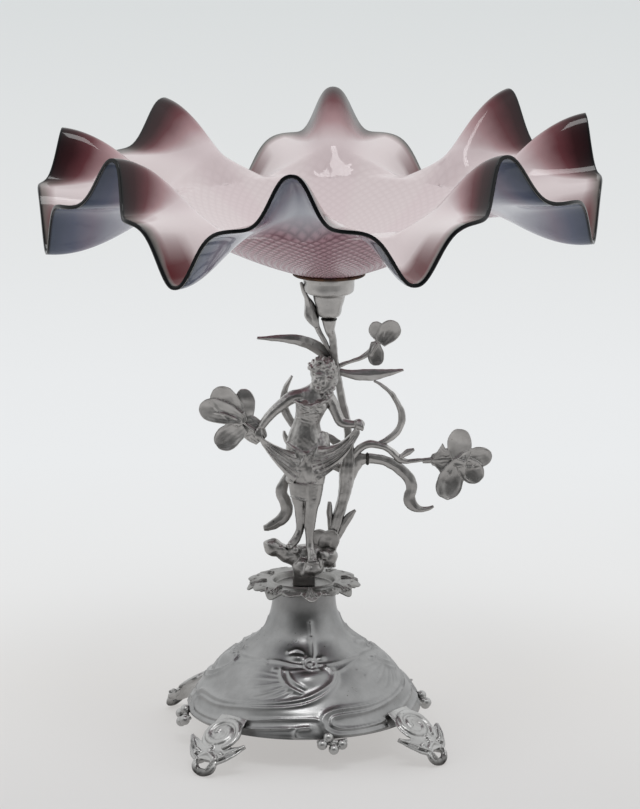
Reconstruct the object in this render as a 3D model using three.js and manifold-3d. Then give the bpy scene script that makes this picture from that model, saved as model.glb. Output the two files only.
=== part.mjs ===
// Footed bowl: a crimped glass dish on a cast and stamped silver-plated stand.
// Millimetres, +Z up. The origin is on the floor under the middle of the dish, and the
// front of the object, where the figure looks, is towards -Y.
import * as THREE from 'three';
import { mergeVertices } from 'three/addons/utils/BufferGeometryUtils.js';
import Module from 'manifold-3d';

const wasm = await Module();
wasm.setup();

// Fits
const gap = 0.3; // air between two pieces that touch or are soldered together

// Where the two upright axes stand: the base's own, and that of the cup and the peg
const baseAxis = new THREE.Vector2(-9, 2);
const cupAxis = new THREE.Vector2(5, 0);

// Base bell, stamped from sheet
const bellHeight = 86.3;
const bellReach = 65.5;
const bellEdgeHeight = 17.6;
const bellNeckRadius = 17.4;
const bellSheet = 1.6;
const reliefWidth = 2.8; // of the main lines that the stamp raised
const reliefLift = 0.3; // of their middles above the sheet
const baseTurn = 8.5; // degrees by which the four sides are turned from the front

// Feet
const footReach = 95;
const footSlope = 33;
const voluteRadius = 12.3;
const toeRingRadius = 5.2;
const toeWireRadius = 1.9;

// Berry drops
const berryRadius = 2.95;
const berryTurn = 4.5; // degrees past the middle of the side

// Petal collar
const collarReach = 31.5;
const collarWellRadius = 17.6;
const collarFloor = 1.7;
const collarRise = 3.4;
const collarPetals = 16;

// Tie stud, nut and washer, hidden in the bell's neck
const studRadius = 2.5;
const studGrip = 9; // length of the stud inside the rock's tenon
const nutRadius = 5.2;
const nutHeight = 4;
const tieWasherRadius = 9;
const tieWasherThickness = 1.4;
const tenonSide = 12.4;

// Stem top and cup
const stemHeight = 153.1; // from the collar's floor to the shoulder under the cup
const spigotRadius = 2.7;
const spigotLength = 6.5;
const cupHeight = 24;
const cupRimRadius = 15;
const cupWall = 1.5;

// Peg, cork and washer
const pegRadius = 7.2;
const pegTipRadius = 4.6;
const pegLength = 13.5;
const corkThickness = 1.1;
const washerRadius = 20;
const washerThickness = 1.4;

// Glass dish
const dishReach = 154.5; // rim radius between two crimps
const dishWall = 3.2;
const dishSeatRadius = 22;
const discRadius = 100; // the moulded middle, a shallow bowl inside the folded flange
const discSlope = 0.32; // rise per millimetre next to the seat
const discBow = 0.0026; // and the bowl's steepening, per millimetre
const flangeSlope = 0.15;
const foldStart = 90; // radius where the folds begin
const dipPull = 2.2; // the rim draws in a little at a downward point
const tipLobe = 0.2; // width of a point at the rim, as a share of the turn to the next dip
const dipLobe = 0.25;
const lobeSharpness = 2.4;
const rimSway = 0.05; // share of the rim's rise that is a plain swing between the points
const dishLean = 0.014; // the glass leans up to the right by this rise per millimetre
// Angles from the front, in degrees, positive to the right, of the eight points and dips
const tipAngles = [-6, 43, 97, 131, 177, 219, 264, 310];
const dipAngles = [19, 78, 114, 154, 199, 242, 282, 330];
const tipRises = [29.3, 31.3, 32.5, 35.5, 30.3, 30.3, 29.5, 30.3];
const dipDrops = [30, 30, 31.7, 30, 30, 30, 31.7, 32];
const tipPulls = [12, 12, 7, 12, 12, 12, 11.5, 12]; // how far the rim draws in at a point

// Heights that follow from the sizes above
const collarBase = bellHeight + gap;
const stemFoot = collarBase + collarFloor + gap;
const cupFoot = stemFoot + stemHeight + gap;
const cupTop = cupFoot + cupHeight;
const washerBase = cupTop + gap;
const seatHeight = washerBase + washerThickness + gap;

const degrees = (value) => value * Math.PI / 180;
const quarterTurns = [0, 90, 180, 270];

// Solids

// A closed skin through rings of points. Rings that close on each other make a hoop,
// and otherwise the first and the last ring are closed by a fan.
function skin(rings, hoop = false) {
  const count = rings[0].length;
  const points = rings.flat();
  const faces = [];
  const bands = hoop ? rings.length : rings.length - 1;
  for (let ring = 0; ring < bands; ring += 1) {
    const near = ring * count;
    const far = ((ring + 1) % rings.length) * count;
    for (let k = 0; k < count; k += 1) {
      const next = (k + 1) % count;
      faces.push(near + k, near + next, far + next, near + k, far + next, far + k);
    }
  }
  if (!hoop) {
    for (const [ring, flip] of [[0, true], [rings.length - 1, false]]) {
      const middle = new THREE.Vector3();
      rings[ring].forEach((point) => middle.addScaledVector(point, 1 / count));
      const hub = points.push(middle) - 1;
      for (let k = 0; k < count; k += 1) {
        const a = ring * count + k;
        const b = ring * count + (k + 1) % count;
        faces.push(...(flip ? [hub, b, a] : [hub, a, b]));
      }
    }
  }
  const geometry = new THREE.BufferGeometry();
  const numbers = points.flatMap((point) => point.toArray());
  geometry.setAttribute('position', new THREE.Float32BufferAttribute(numbers, 3));
  geometry.setIndex(signedVolume(points, faces) < 0 ? faces.reverse() : faces);
  return geometry;
}

function signedVolume(points, faces) {
  let volume = 0;
  for (let k = 0; k < faces.length; k += 3) {
    const [a, b, c] = [points[faces[k]], points[faces[k + 1]], points[faces[k + 2]]];
    volume += a.dot(b.clone().cross(c)) / 6;
  }
  return volume;
}

function solid(geometry) {
  geometry.deleteAttribute('normal');
  geometry.deleteAttribute('uv');
  const merged = mergeVertices(geometry, 1e-4);
  return new wasm.Manifold(new wasm.Mesh({
    numProp: 3,
    vertProperties: merged.attributes.position.array,
    triVerts: new Uint32Array(merged.index.array),
  }));
}

const join = (...solids) => solids.reduce((whole, piece) => whole.add(piece));

const cut = (whole, ...tools) => tools.reduce((rest, tool) => rest.subtract(tool), whole);

// The largest body of a solid that a cut has left in several
function mainBody(whole) {
  const bodies = whole.decompose();
  return bodies.reduce((best, body) => (body.volume() > best.volume() ? body : best));
}

function geometryOf(whole) {
  const mesh = whole.getMesh();
  const geometry = new THREE.BufferGeometry();
  geometry.setAttribute('position', new THREE.BufferAttribute(mesh.vertProperties, 3));
  geometry.setIndex(new THREE.BufferAttribute(mesh.triVerts, 1));
  return geometry;
}

// A solid turned about an upright axis: loopAt(angle) gives the closed section there as
// [radius, height] pairs. The angle counts from the front and is positive to the right.
function turned(axis, segments, loopAt) {
  const rings = [];
  for (let k = 0; k < segments; k += 1) {
    const angle = 2 * Math.PI * k / segments;
    rings.push(loopAt(angle).map(([radius, height]) => new THREE.Vector3(
      axis.x + radius * Math.sin(angle), axis.y - radius * Math.cos(angle), height)));
  }
  return solid(skin(rings, true));
}

function disc(axis, radius, low, high, sides = 24) {
  const geometry = new THREE.CylinderGeometry(radius, radius, high - low, sides);
  geometry.rotateX(Math.PI / 2);
  geometry.translate(axis.x, axis.y, (low + high) / 2);
  return solid(geometry);
}

function ball(x, y, z, radiusX, radiusY = radiusX, radiusZ = radiusX, tilt = 0) {
  const geometry = new THREE.SphereGeometry(1, 8, 5);
  geometry.rotateX(Math.PI / 2);
  geometry.scale(radiusX, radiusY, radiusZ);
  geometry.rotateY(degrees(tilt));
  geometry.translate(x, y, z);
  return solid(geometry);
}

// A stem, leaf or limb. Each point is [x, y, z, width, depth]: the depth runs along face,
// front to back unless it is given, and the width lies across the curve and the face.
function limb(points, {
  depth = 0, grow = 0, sides = 6, smooth = 1, face = new THREE.Vector3(0, 1, 0),
} = {}) {
  const curve = new THREE.CatmullRomCurve3(points.map(([x, y, z]) => new THREE.Vector3(x, y, z)));
  const widths = points.map((point) => point[3] / 2 + grow);
  const depths = points.map((point) => (point[4] ?? (depth || point[3])) / 2 + grow);
  const steps = smooth * (points.length - 1);
  const rings = [];
  const between = (values, t) => {
    const place = t * (values.length - 1);
    const low = Math.min(Math.floor(place), values.length - 2);
    return values[low] + (values[low + 1] - values[low]) * (place - low);
  };
  const ring = (t, shrink, reach) => {
    const along = curve.getTangent(t);
    const deep = face.clone().addScaledVector(along, -along.dot(face)).normalize();
    const wide = along.clone().cross(deep);
    const middle = curve.getPoint(t).addScaledVector(along, reach);
    const loop = [];
    for (let k = 0; k < sides; k += 1) {
      const angle = 2 * Math.PI * (k + 0.5) / sides;
      loop.push(middle.clone()
        .addScaledVector(wide, between(widths, t) * shrink * Math.cos(angle))
        .addScaledVector(deep, between(depths, t) * shrink * Math.sin(angle)));
    }
    return loop;
  };
  rings.push(ring(0, 0.5, -0.6 * Math.min(widths[0], depths[0])));
  for (let k = 0; k <= steps; k += 1) rings.push(ring(k / steps, 1, 0));
  rings.push(ring(1, 0.5, 0.6 * Math.min(widths.at(-1), depths.at(-1))));
  return solid(skin(rings));
}

// A petal: a flat egg from its base towards its tip, cupped towards the front
function petal(base, tip, width, { thickness = 2, cup = 0.025, grow = 0 } = {}) {
  const from = new THREE.Vector3(...base);
  const to = new THREE.Vector3(...tip);
  const length = from.distanceTo(to);
  const geometry = new THREE.SphereGeometry(1, 8, 6);
  const along = to.clone().sub(from).normalize();
  const front = new THREE.Vector3(0, -1, 0);
  front.addScaledVector(along, -front.dot(along)).normalize();
  const across = along.clone().cross(front);
  const position = geometry.attributes.position;
  for (let k = 0; k < position.count; k += 1) {
    const u = position.getY(k);
    const fullness = 0.74 + 0.26 * u;
    const x = position.getX(k) * fullness * (width / 2 + grow);
    const y = (u + 1) * (length / 2 + grow) - grow;
    const z = position.getZ(k) * (thickness / 2 + grow) + cup * (x * x + (y - length / 2) ** 2);
    const point = from.clone().addScaledVector(across, x).addScaledVector(along, y);
    point.addScaledVector(front, z);
    position.setXYZ(k, point.x, point.y, point.z);
  }
  return solid(geometry);
}

// Points of the stand above the collar are given from the base's axis and the collar's floor,
// drawn for a stem of 153.1 mm, and their heights grow with the stem
const stemRise = stemHeight / 153.1;
const onStand = (points) => points.map(
  ([x, y, z, ...rest]) => [x + baseAxis.x, y + baseAxis.y, z * stemRise + stemFoot, ...rest]);
const standLimb = (points, options) => limb(onStand(points), options);
const standBall = (x, y, z, ...rest) => ball(...onStand([[x, y, z]])[0], ...rest);
const standPetal = (base, tip, width, options) => petal(...onStand([base, tip]), width, options);

// Base bell
// The outline runs from the neck to the edge: share of the way out, share of the height
const bellOutline = new THREE.SplineCurve([
  [0, 1], [0.025, 0.825], [0.127, 0.653], [0.366, 0.516], [0.615, 0.375], [0.823, 0.211],
  [0.97, 0.06], [1, 0],
].map(([out, up]) => new THREE.Vector2(out, up)));
const bellSteps = 9;

// The bell's section, pushed out by an offset, from its neck to its edge
function bellSection(offset) {
  const section = [];
  for (let k = 0; k <= bellSteps; k += 1) {
    const share = bellOutline.getPoint(k / bellSteps);
    const slope = bellOutline.getTangent(k / bellSteps);
    const run = slope.x * (bellReach - bellNeckRadius);
    const drop = slope.y * (bellHeight - bellEdgeHeight);
    const length = Math.hypot(run, drop);
    section.push([
      bellNeckRadius + (bellReach - bellNeckRadius) * share.x - offset * drop / length,
      bellEdgeHeight + (bellHeight - bellEdgeHeight) * share.y + offset * run / length,
    ]);
  }
  return section;
}

// Each side's relief, as [degrees from its middle, distance from the axis] along each line:
// a stalk, a ring line on both sides of it, and a whiplash that ends in a hook
const reliefLines = [
  [[2, 21], [2, 25.5], [0, 34]],
  [[-47, 36], [-32, 35.6], [-18, 36.6], [-5, 37.4]],
  [[6, 37], [19, 36.6], [32, 36], [43, 36]],
  [
    [11, 38.8], [14.6, 43.4], [10, 47.8], [1, 51.8], [-9.5, 54.2], [-24, 55.8], [-37, 56.8],
    [-50, 58], [-62, 58.5], [-74, 58.5], [-83, 58.8], [-87.5, 60.6],
  ],
  [[-37, 61.4], [-28, 60.8], [-20, 60.3], [-10, 60.2], [-3, 60.4]],
];

// The middle of a raised line, by its angle from the front and distance from the axis
function onBell(angle, radius) {
  const section = bellSection(reliefLift);
  const next = section.findIndex(([out]) => out > radius);
  const [[nearOut, nearUp], [farOut, farUp]] = section.slice(next - 1, next + 1);
  const height = nearUp + (farUp - nearUp) * (radius - nearOut) / (farOut - nearOut);
  const turn = degrees(angle);
  return [baseAxis.x + radius * Math.sin(turn), baseAxis.y - radius * Math.cos(turn), height];
}

// The shell at the middle of a side, a flat boss that stands up as far as the lines
function reliefShell(turn) {
  const slope = degrees(48);
  const face = new THREE.Vector3(0, -Math.sin(slope), Math.cos(slope));
  face.applyAxisAngle(new THREE.Vector3(0, 0, 1), degrees(turn));
  const points = [[-6, 40.5, 9], [-6, 44.5, 15], [-6, 48.5, 9]].map(
    ([angle, radius, width]) => [...onBell(turn + angle, radius), width]);
  return limb(points, { face, depth: reliefWidth, sides: 8 });
}

function baseBell() {
  const hole = studRadius + gap;
  const sheet = turned(baseAxis, 32, () => [
    [hole, bellHeight],
    ...bellSection(0),
    ...bellSection(-bellSheet).reverse().slice(0, -1),
    [bellNeckRadius - bellSheet, bellHeight - bellSheet],
    [hole, bellHeight - bellSheet],
  ]);
  const relief = quarterTurns.flatMap((quarter) => {
    const turn = baseTurn + quarter;
    const lines = reliefLines.map((line) => limb(
      line.map(([angle, radius]) => [...onBell(turn + angle, radius), reliefWidth]),
      { face: new THREE.Vector3(0, 0, 1) }));
    return [reliefShell(turn), ...lines];
  });
  return join(sheet, ...relief);
}

// The whole space that the bell takes up, with its hollow and the gap around it
function bellSpace(axis) {
  const core = 1;
  return turned(axis, 80, () => [
    [core, bellHeight + gap],
    ...bellSection(gap),
    [bellReach, 0],
    [core, 0],
  ]);
}

// Feet and berry drops are made at the front of an upright axis and turned into place
const ownAxis = new THREE.Vector2(0, 0);

function scrollFoot() {
  const faceAt = (slope) => new THREE.Vector3(0, -Math.sin(degrees(slope)), Math.cos(degrees(slope)));
  const toeSlope = 58;
  const voluteOut = footReach - 19.6;
  const voluteHeight = 19;
  const plate = 3.2;
  const volute = new THREE.CylinderGeometry(voluteRadius - 1, voluteRadius, plate, 16);
  volute.rotateX(Math.PI / 2 + degrees(footSlope));
  volute.translate(0, -voluteOut, voluteHeight);
  const toeRise = toeRingRadius * Math.sin(degrees(toeSlope)) + toeWireRadius;
  const padDepth = 0.6;
  const toeOut = footReach - toeRingRadius * Math.cos(degrees(toeSlope));
  const toe = new THREE.TorusGeometry(toeRingRadius, toeWireRadius, 6, 12);
  toe.rotateX(degrees(toeSlope));
  toe.translate(0, -toeOut, toeRise - padDepth);
  const root = limb([
    [0, -voluteOut + 3, voluteHeight + 2, 22, plate],
    [0, -bellReach + 4.1, bellEdgeHeight + 10.5, 19, plate],
  ], { face: faceAt(footSlope) });
  const neck = limb([
    [0, -voluteOut - 6, voluteHeight - 4, 14, 3],
    [0, -voluteOut - 10, voluteHeight - 7, 11, 3],
    [0, -toeOut + 3.4, toeRise + 3.2, 9.5, 3],
  ], { face: faceAt(footSlope + 8) });
  const leaves = [-1, 1].map((side) => limb([
    [side * 3.5, -toeOut + 3.6, toeRise + 1.8, 6.4, 2.6],
    [side * 8.5, -toeOut + 8.4, toeRise + 4, 7.4, 2.4],
    [side * 13, -toeOut + 13.4, toeRise + 6.4, 4.6, 2.2],
    [side * 17, -toeOut + 18, toeRise + 8.6, 1.8, 1.4],
  ], { face: faceAt(footSlope) }));
  const floor = new THREE.BoxGeometry(60, 80, 10);
  floor.translate(0, -footReach, -5);
  const foot = join(solid(volute), solid(toe), root, neck, ...leaves);
  return mainBody(cut(foot, solid(floor), bellSpace(ownAxis)));
}

function berryDrop() {
  const out = bellReach + berryRadius + 1.3;
  const height = bellEdgeHeight - 2;
  const berries = [[-5.6, 0, 0.4], [0.7, 1, -2.4], [5.7, 0, -0.2], [-1.7, -2, 3.6]].map(
    ([across, further, up]) => ball(across, -out - further, height + up, berryRadius));
  const stalk = ball(0.2, -out + 1.6, height + 0.2, 6.6, 2.2, 3);
  return mainBody(cut(join(...berries, stalk), bellSpace(ownAxis)));
}

// Petal collar: a shallow dish whose rim turns down into leaves
function petalCollar() {
  const hole = studRadius + gap;
  const rimHeight = collarBase + collarFloor + collarRise;
  const rim = 1.5;
  return turned(baseAxis, 3 * collarPetals, (angle) => {
    const lobe = Math.cos(collarPetals * (angle - degrees(baseTurn)));
    const broad = Math.cos(collarPetals / 2 * (angle - degrees(baseTurn)));
    const reach = collarReach + 0.9 * lobe + 0.6 * broad;
    const droop = 2.2 + 0.8 * lobe + 1.2 * broad;
    const middle = (collarWellRadius + reach) / 2;
    return [
      [hole, collarBase],
      [collarWellRadius - 1, collarBase],
      [collarWellRadius + rim, rimHeight - 1.8],
      [middle, rimHeight - 1.5 - droop / 4],
      [reach - 0.6, rimHeight - 1.6 - droop],
      [reach, rimHeight - 0.6 - droop],
      [middle, rimHeight - droop / 4],
      [collarWellRadius + rim, rimHeight],
      [collarWellRadius, rimHeight - 0.5],
      [collarWellRadius - rim, collarBase + collarFloor],
      [hole, collarBase + collarFloor],
    ];
  });
}

// Fixing under the rock
const webUnderside = bellHeight - bellSheet;
const tieWasherTop = webUnderside - gap;
const nutTop = tieWasherTop - tieWasherThickness - gap;

const tieStud = () => disc(baseAxis, studRadius, nutTop - nutHeight - 2.5, stemFoot + studGrip, 16);

function ringPlate(outerAt, low, high) {
  const hole = studRadius + gap;
  return turned(baseAxis, 24, (angle) => [
    [hole, low], [outerAt(angle), low], [outerAt(angle), high], [hole, high],
  ]);
}

const tieWasher = () => ringPlate(
  () => tieWasherRadius, tieWasherTop - tieWasherThickness, tieWasherTop);

function tieNut() {
  const flat = degrees(60);
  const halfWidth = nutRadius * Math.cos(flat / 2);
  return ringPlate((angle) => halfWidth / Math.cos(angle % flat - flat / 2), nutTop - nutHeight, nutTop);
}

// Plant
const cupInStand = [cupAxis.x - baseAxis.x, cupAxis.y - baseAxis.y];

function mainStem(grow = 0) {
  const [x, y] = cupInStand;
  const trunk = standLimb([
    [x, y, 151.6, 7], [x + 0.4, y + 0.5, 147.6, 4.8], [16, 0, 140, 4.2],
    [17.2, 1, 127.5, 4.4], [19.6, 2.5, 113.5, 4.4], [21.4, 3, 103.5, 4.6], [23.6, 3, 94.5, 4.6],
    [25.1, 3, 82, 5], [24.8, 3, 73, 7.2], [24, 3, 65, 9], [23.4, 3, 56, 8], [21.5, 3, 46.5, 6.6],
    [18.5, 3, 36, 6.6], [16.6, 3, 28, 5.6], [15.7, 3, 18.5, 5.2], [15.2, 3, 9, 5.4],
  ], { grow });
  const shoulder = disc(cupAxis, 4.4 + grow, stemFoot + stemHeight - 2, stemFoot + stemHeight + grow, 16);
  const spigotTop = stemFoot + stemHeight + spigotLength;
  const spigot = disc(cupAxis, spigotRadius + grow, spigotTop - spigotLength - 1, spigotTop, 16);
  return join(trunk, shoulder, spigot);
}

const leafDepth = 1.8;

const budSpray = () => standLimb([
  [15.5, 1, 131.5, 2], [14, 0, 134.5, 2.2], [11.5, 0, 139, 3.2], [8.5, 0, 144.5, 3.6],
  [7, 0, 148, 5, 4], [4.5, 0, 153, 7.4, 5], [3.5, -0.5, 157.5, 6, 4.4], [2.2, -1.5, 162, 3.4],
  [0, -3, 166, 2.2], [-1.6, -4, 173, 2],
]);

const upperLeftLeaf = () => standLimb([
  [18.2, 2, 124, 3.6], [14.5, 3, 129, 5.5], [10.5, 3.4, 132.5, 7.2], [4.5, 2.4, 136.5, 7],
  [-3, 0, 139.5, 6.2], [-11, 0, 140.5, 4.6], [-19, 0, 140.6, 2.8], [-26, 0, 141, 1.6],
], { depth: leafDepth });

const upperRightLeaf = () => standLimb([
  [18.5, 2, 121.5, 3.6], [26, 1, 120, 5.2], [31, 1, 119.6, 6.6], [37.5, 1, 119.6, 6.8],
  [44.5, 1, 120.5, 5], [51, 1, 121.6, 2.8], [55.5, 1, 122.5, 1.4],
], { depth: leafDepth });

function upperRightFlower() {
  const stalk = standLimb([
    [18, 2, 124, 2.4], [26, 2, 128, 2.2], [32, 2, 130.5, 2.6], [36.5, 2, 133.5, 3.4],
    [41.5, 2, 138.5, 3.4], [43, 2, 141, 3],
  ]);
  const heart = [42.5, 1.5, 139.5];
  return join(stalk,
    standPetal(heart, [37, 0.5, 149.5], 10),
    standPetal(heart, [53, 0.5, 148], 12),
    standPetal(heart, [37, 2, 126], 10));
}

function rightBranch(grow = 0) {
  const branch = standLimb([
    [24, 3, 66, 5], [26, 2.5, 70.5, 4.6], [29, 2, 75, 4.4], [32.5, 2, 78.5, 4.4],
    [36.5, 2, 80, 4.4], [40, 2, 79.7, 4.4], [44.5, 2, 78.5, 4.2], [48.5, 2, 76, 4],
    [53, 2, 71.7, 4.2], [57, 2, 70, 3.2], [62, 2, 70.5, 2.4], [72.5, 1, 71.5, 2],
  ], { grow });
  const sprout = standLimb([
    [52.5, 2, 72.5, 2], [54.5, 1, 73.5, 2.6], [58, 1, 75.6, 3.8], [61.5, 1, 77.2, 1.8],
  ], { depth: leafDepth, grow });
  return join(branch, sprout);
}

const curledTendrilLeaf = () => standLimb([
  [42, 2, 80, 3.6], [45.5, 2, 81.7, 3.8], [50, 2, 85, 4.2], [53.5, 2, 89.7, 4.4],
  [54.6, 2, 96, 4.3], [52.5, 2, 102.3, 3.4], [48.5, 2, 109, 2.8], [42.5, 2, 114, 2],
  [39, 2, 116.2, 1.6],
], { depth: leafDepth });

const lowerRightLeaf = () => standLimb([
  [27, 2, 70.5, 5], [34, 1, 71.8, 6], [41, 1, 71.6, 5.8], [48.5, 1, 69, 6.2],
  [55, 1, 64.4, 6.6], [59.3, 1, 59, 6.8], [60, 1, 54, 6.2], [58.8, 1, 50, 6.8],
  [60, 1, 45.6, 7], [64.5, 1, 42.8, 4.4], [69, 1, 43, 2.8], [72.5, 1, 44.6, 1.4],
], { depth: leafDepth });

function rightFlower() {
  const heart = [83, 0.5, 70];
  return join(
    standPetal([70, 0.5, 71.5], [87, 0.5, 70.5], 16, { thickness: 3.4 }),
    standPetal(heart, [88, -0.5, 92], 17),
    standPetal(heart, [105.5, -0.5, 76.5], 15),
    standPetal(heart, [100.5, -0.5, 58.5], 15),
    standPetal(heart, [76.5, -0.5, 49.5], 19));
}

function leftFlower() {
  const heart = [-35.5, -6, 97];
  return join(
    standPetal([-22.5, -6.5, 87.5], [-38, -6, 100], 14, { thickness: 3.4 }),
    standPetal(heart, [-47.5, -6.5, 114], 17),
    standPetal(heart, [-57.5, -6.5, 99.5], 16),
    standPetal(heart, [-29, -6.5, 113.5], 14),
    standPetal(heart, [-46, -6.5, 80.5], 19));
}

function leftUpperLeaf() {
  const blade = standLimb([
    [24, 4, 76, 4.4], [13.5, 6, 83, 4.6], [4, 5.5, 86, 4.6], [-4, 4.5, 89, 4.8],
    [-7.5, 4, 93, 4.8], [-10.3, 4, 98.5, 5], [-11.2, 4, 104, 4.4], [-10.8, 4, 109, 3.8],
    [-9, 4, 114, 2.8], [-6.5, 4, 118.6, 1.4],
  ], { depth: leafDepth });
  const hipLeaf = standLimb([
    [3, 5.6, 85, 4], [-3, 5, 82, 4.2], [-8, 4, 80.5, 4.4], [-10.2, 4, 83.5, 3.2],
    [-11.2, 4, 87, 1.4],
  ], { depth: leafDepth });
  return join(blade, hipLeaf);
}

const leftLowerLeaf = () => standLimb([
  [23, 4, 64, 4.6], [13, 6.5, 67.5, 5], [3, 7, 67.5, 5], [-5.5, 5.5, 64, 5],
  [-10, 4.5, 59.5, 5], [-12, 4, 54.5, 6.6], [-12.3, 4, 50.5, 7], [-10.2, 4, 46, 7],
  [-9.6, 4, 41, 7], [-11.7, 4, 37, 7], [-16, 4, 33.6, 6], [-20, 4, 31.6, 4.6], [-22.6, 4, 31, 3.4],
], { depth: leafDepth });

function stemSprouts(grow = 0) {
  return join(
    standLimb([
      [15.6, 3, 24, 4], [15, 2.2, 33, 3.6], [14.4, 2, 40.5, 3.6], [14.2, 2, 47, 2],
    ], { depth: 2.4, grow }),
    standLimb([
      [17, 3, 24, 5], [20.5, 2.2, 31, 5.4], [25, 2, 38, 4.4], [29, 2, 42.2, 1.6],
    ], { depth: 2.4, grow }),
    standLimb([[15, 3, 22, 5], [17.5, 2.2, 27, 6]], { depth: 4, grow }));
}

function rootLeaves(grow = 0) {
  return join(
    standPetal([12.5, 1, 16], [7.5, 0.5, 32], 9.5, { grow }),
    standPetal([10.5, 1, 16], [17, 0.5, 31], 10.5, { grow }));
}

// Rock mound
function rockMound() {
  const tenon = new THREE.BoxGeometry(tenonSide, tenonSide, 12);
  tenon.rotateZ(degrees(4));
  tenon.translate(baseAxis.x, baseAxis.y, stemFoot + 6);
  const boulders = [
    [1, -5, 11, 7, 6, 6, 0], [7, -5, 12, 5, 5.4, 5.4, 0], [13.4, -1, 15.5, 6, 6.4, 5.8, 0],
    [2.5, 0.5, 15.5, 11, 7, 8, 0], [-8.5, -3, 17.5, 9.5, 5.4, 5, 28],
    [-16.8, -3.6, 21.5, 6.2, 5.4, 5.4, 30],
  ].map((numbers) => standBall(...numbers));
  return join(solid(tenon), ...boulders);
}

// Maiden figure, standing on her right leg with the skirt held out in both hands
function maiden(grow = 0) {
  const body = standLimb([
    [1.5, -5, 79, 21, 13], [1.5, -5, 84, 20, 12.4], [1.5, -5, 89, 16.6, 10.4], [1.6, -5, 93, 14.6, 9.4],
    [2.8, -5.3, 98.5, 16.4, 10.6], [3.8, -5.8, 103, 17.4, 12], [4.6, -5.2, 108, 17.6, 9.6],
    [5.2, -4.8, 111, 11, 7.4], [6.8, -4.8, 114, 6.6, 6.4], [8.2, -5, 118, 6.4, 6.4],
  ], { grow, sides: 10 });
  const head = standBall(9.6, -5.6, 121.4, 5.9 + grow, 6.6 + grow, 7.6 + grow);
  const hair = standBall(10.6, -4.2, 124.4, 7.6 + grow, 7.2 + grow, 6.4 + grow);
  const bun = standBall(15.4, -4.6, 120.4, 3.4 + grow, 3.8 + grow, 4.4 + grow);
  const braid = standLimb([[15, -6, 117, 4.4], [15, -7.6, 111.5, 4.2], [13.4, -8.6, 106.5, 3]], { grow });
  const rightArm = standLimb([
    [-1, -5.2, 109.6, 6], [-5.5, -5.8, 109, 5.8], [-12.5, -7, 104.3, 5.2], [-19, -7.6, 99, 4.6],
    [-23, -8, 94.6, 4.4], [-25, -8, 90, 4.6], [-24, -7.6, 86, 5],
  ], { grow });
  const leftArm = standLimb([
    [12, -5.2, 109.5, 6], [15, -5.8, 107, 5.6], [18, -7, 100.5, 5], [20.4, -8, 94.5, 4.8],
    [24, -8.4, 93.4, 4.4], [29, -8.6, 95.2, 4], [32, -8.6, 93.4, 4.6],
  ], { grow });
  const skirt = standLimb([
    [1.5, -5, 85, 20.5, 13], [0.4, -5.4, 78, 23.5, 14.4], [-0.4, -5.8, 69.5, 23, 14.6], [0.3, -5.8, 60, 19.6, 12.6],
  ], { grow, sides: 12 });
  const rightWing = standLimb([
    [-24, -7.6, 88, 5, 4.4], [-20, -7.4, 81.5, 9, 5], [-14.5, -7, 74, 13, 6],
    [-8.5, -6.4, 66.5, 14, 7], [-3.5, -6, 61.5, 10, 8],
  ], { grow });
  const leftWing = standLimb([
    [30.4, -8.4, 92, 5, 4.4], [25.6, -8, 86, 8.4, 5], [20, -7.4, 78.5, 11.5, 6],
    [13, -6.8, 71, 13, 7], [6, -6.2, 64, 11, 8],
  ], { grow });
  const rightLeg = standLimb([
    [-3, -3.4, 62, 10, 9], [-3, -3.4, 57, 9, 8.6], [-2, -3.6, 50, 7.2], [-2, -3.8, 44.5, 6],
    [-1.6, -3, 38, 5.6], [-2.2, -3, 32.5, 3.6], [-4, -3.6, 28.4, 3.8], [-7, -5.4, 24.4, 4],
  ], { grow });
  const leftLeg = standLimb([
    [5.6, -6.4, 62, 10, 9], [5, -6.6, 56, 9.2, 8.8], [4.6, -7.2, 49.5, 7.6], [4.2, -7, 43, 6.4],
    [3.4, -6.4, 36, 6], [3.2, -6.4, 26.5, 3.6], [3.8, -7.2, 20, 3.6], [4.4, -8.6, 16, 4.6],
  ], { grow });
  const limbs = [rightArm, leftArm, rightLeg, leftLeg];
  return join(body, head, hair, bun, braid, skirt, rightWing, leftWing, ...limbs);
}

// Cup on the stem's top, and the dish's seat
const pegTaper = (pegRadius - pegTipRadius) / pegLength;
const pegRadiusAt = (height) => pegRadius - pegTaper * Math.max(0, seatHeight - height);
const pegTip = seatHeight - pegLength;
const corkFoot = pegTip - gap;
const corkRadiusAt = (height) => pegRadiusAt(height) + gap + corkThickness;

function socketCup() {
  const boreFoot = corkFoot - gap;
  const spigotBore = spigotRadius + gap;
  return turned(cupAxis, 20, () => [
    [spigotBore, cupFoot], [5.4, cupFoot], [6.9, cupFoot + 3], [7.2, cupFoot + 5.5],
    [8.5, cupFoot + 9.5], [9, cupFoot + 12], [10.4, cupFoot + 13.2], [12.6, cupFoot + 14.6],
    [14, cupFoot + 17], [14, cupTop - 4], [cupRimRadius, cupTop - 1.2], [cupRimRadius, cupTop],
    [cupRimRadius - cupWall, cupTop], [cupRimRadius - cupWall - 1, cupTop - 1],
    [corkRadiusAt(cupTop) + gap, cupTop - 1.4],
    [corkRadiusAt(boreFoot) + gap, boreFoot], [spigotBore, boreFoot],
  ]);
}

const corkSleeve = () => turned(cupAxis, 20, () => [
  [pegRadiusAt(corkFoot) + gap, corkFoot], [corkRadiusAt(corkFoot), corkFoot],
  [corkRadiusAt(cupTop), cupTop], [pegRadiusAt(cupTop) + gap, cupTop],
]);

function dishWasher() {
  const inner = pegRadius + gap;
  const flat = cupRimRadius + 0.6;
  const droop = 0.9;
  const top = washerBase + washerThickness;
  return turned(cupAxis, 24, () => [
    [inner, washerBase], [flat, washerBase], [washerRadius, washerBase - droop],
    [washerRadius, top - droop], [flat, top], [inner, top],
  ]);
}

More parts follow.
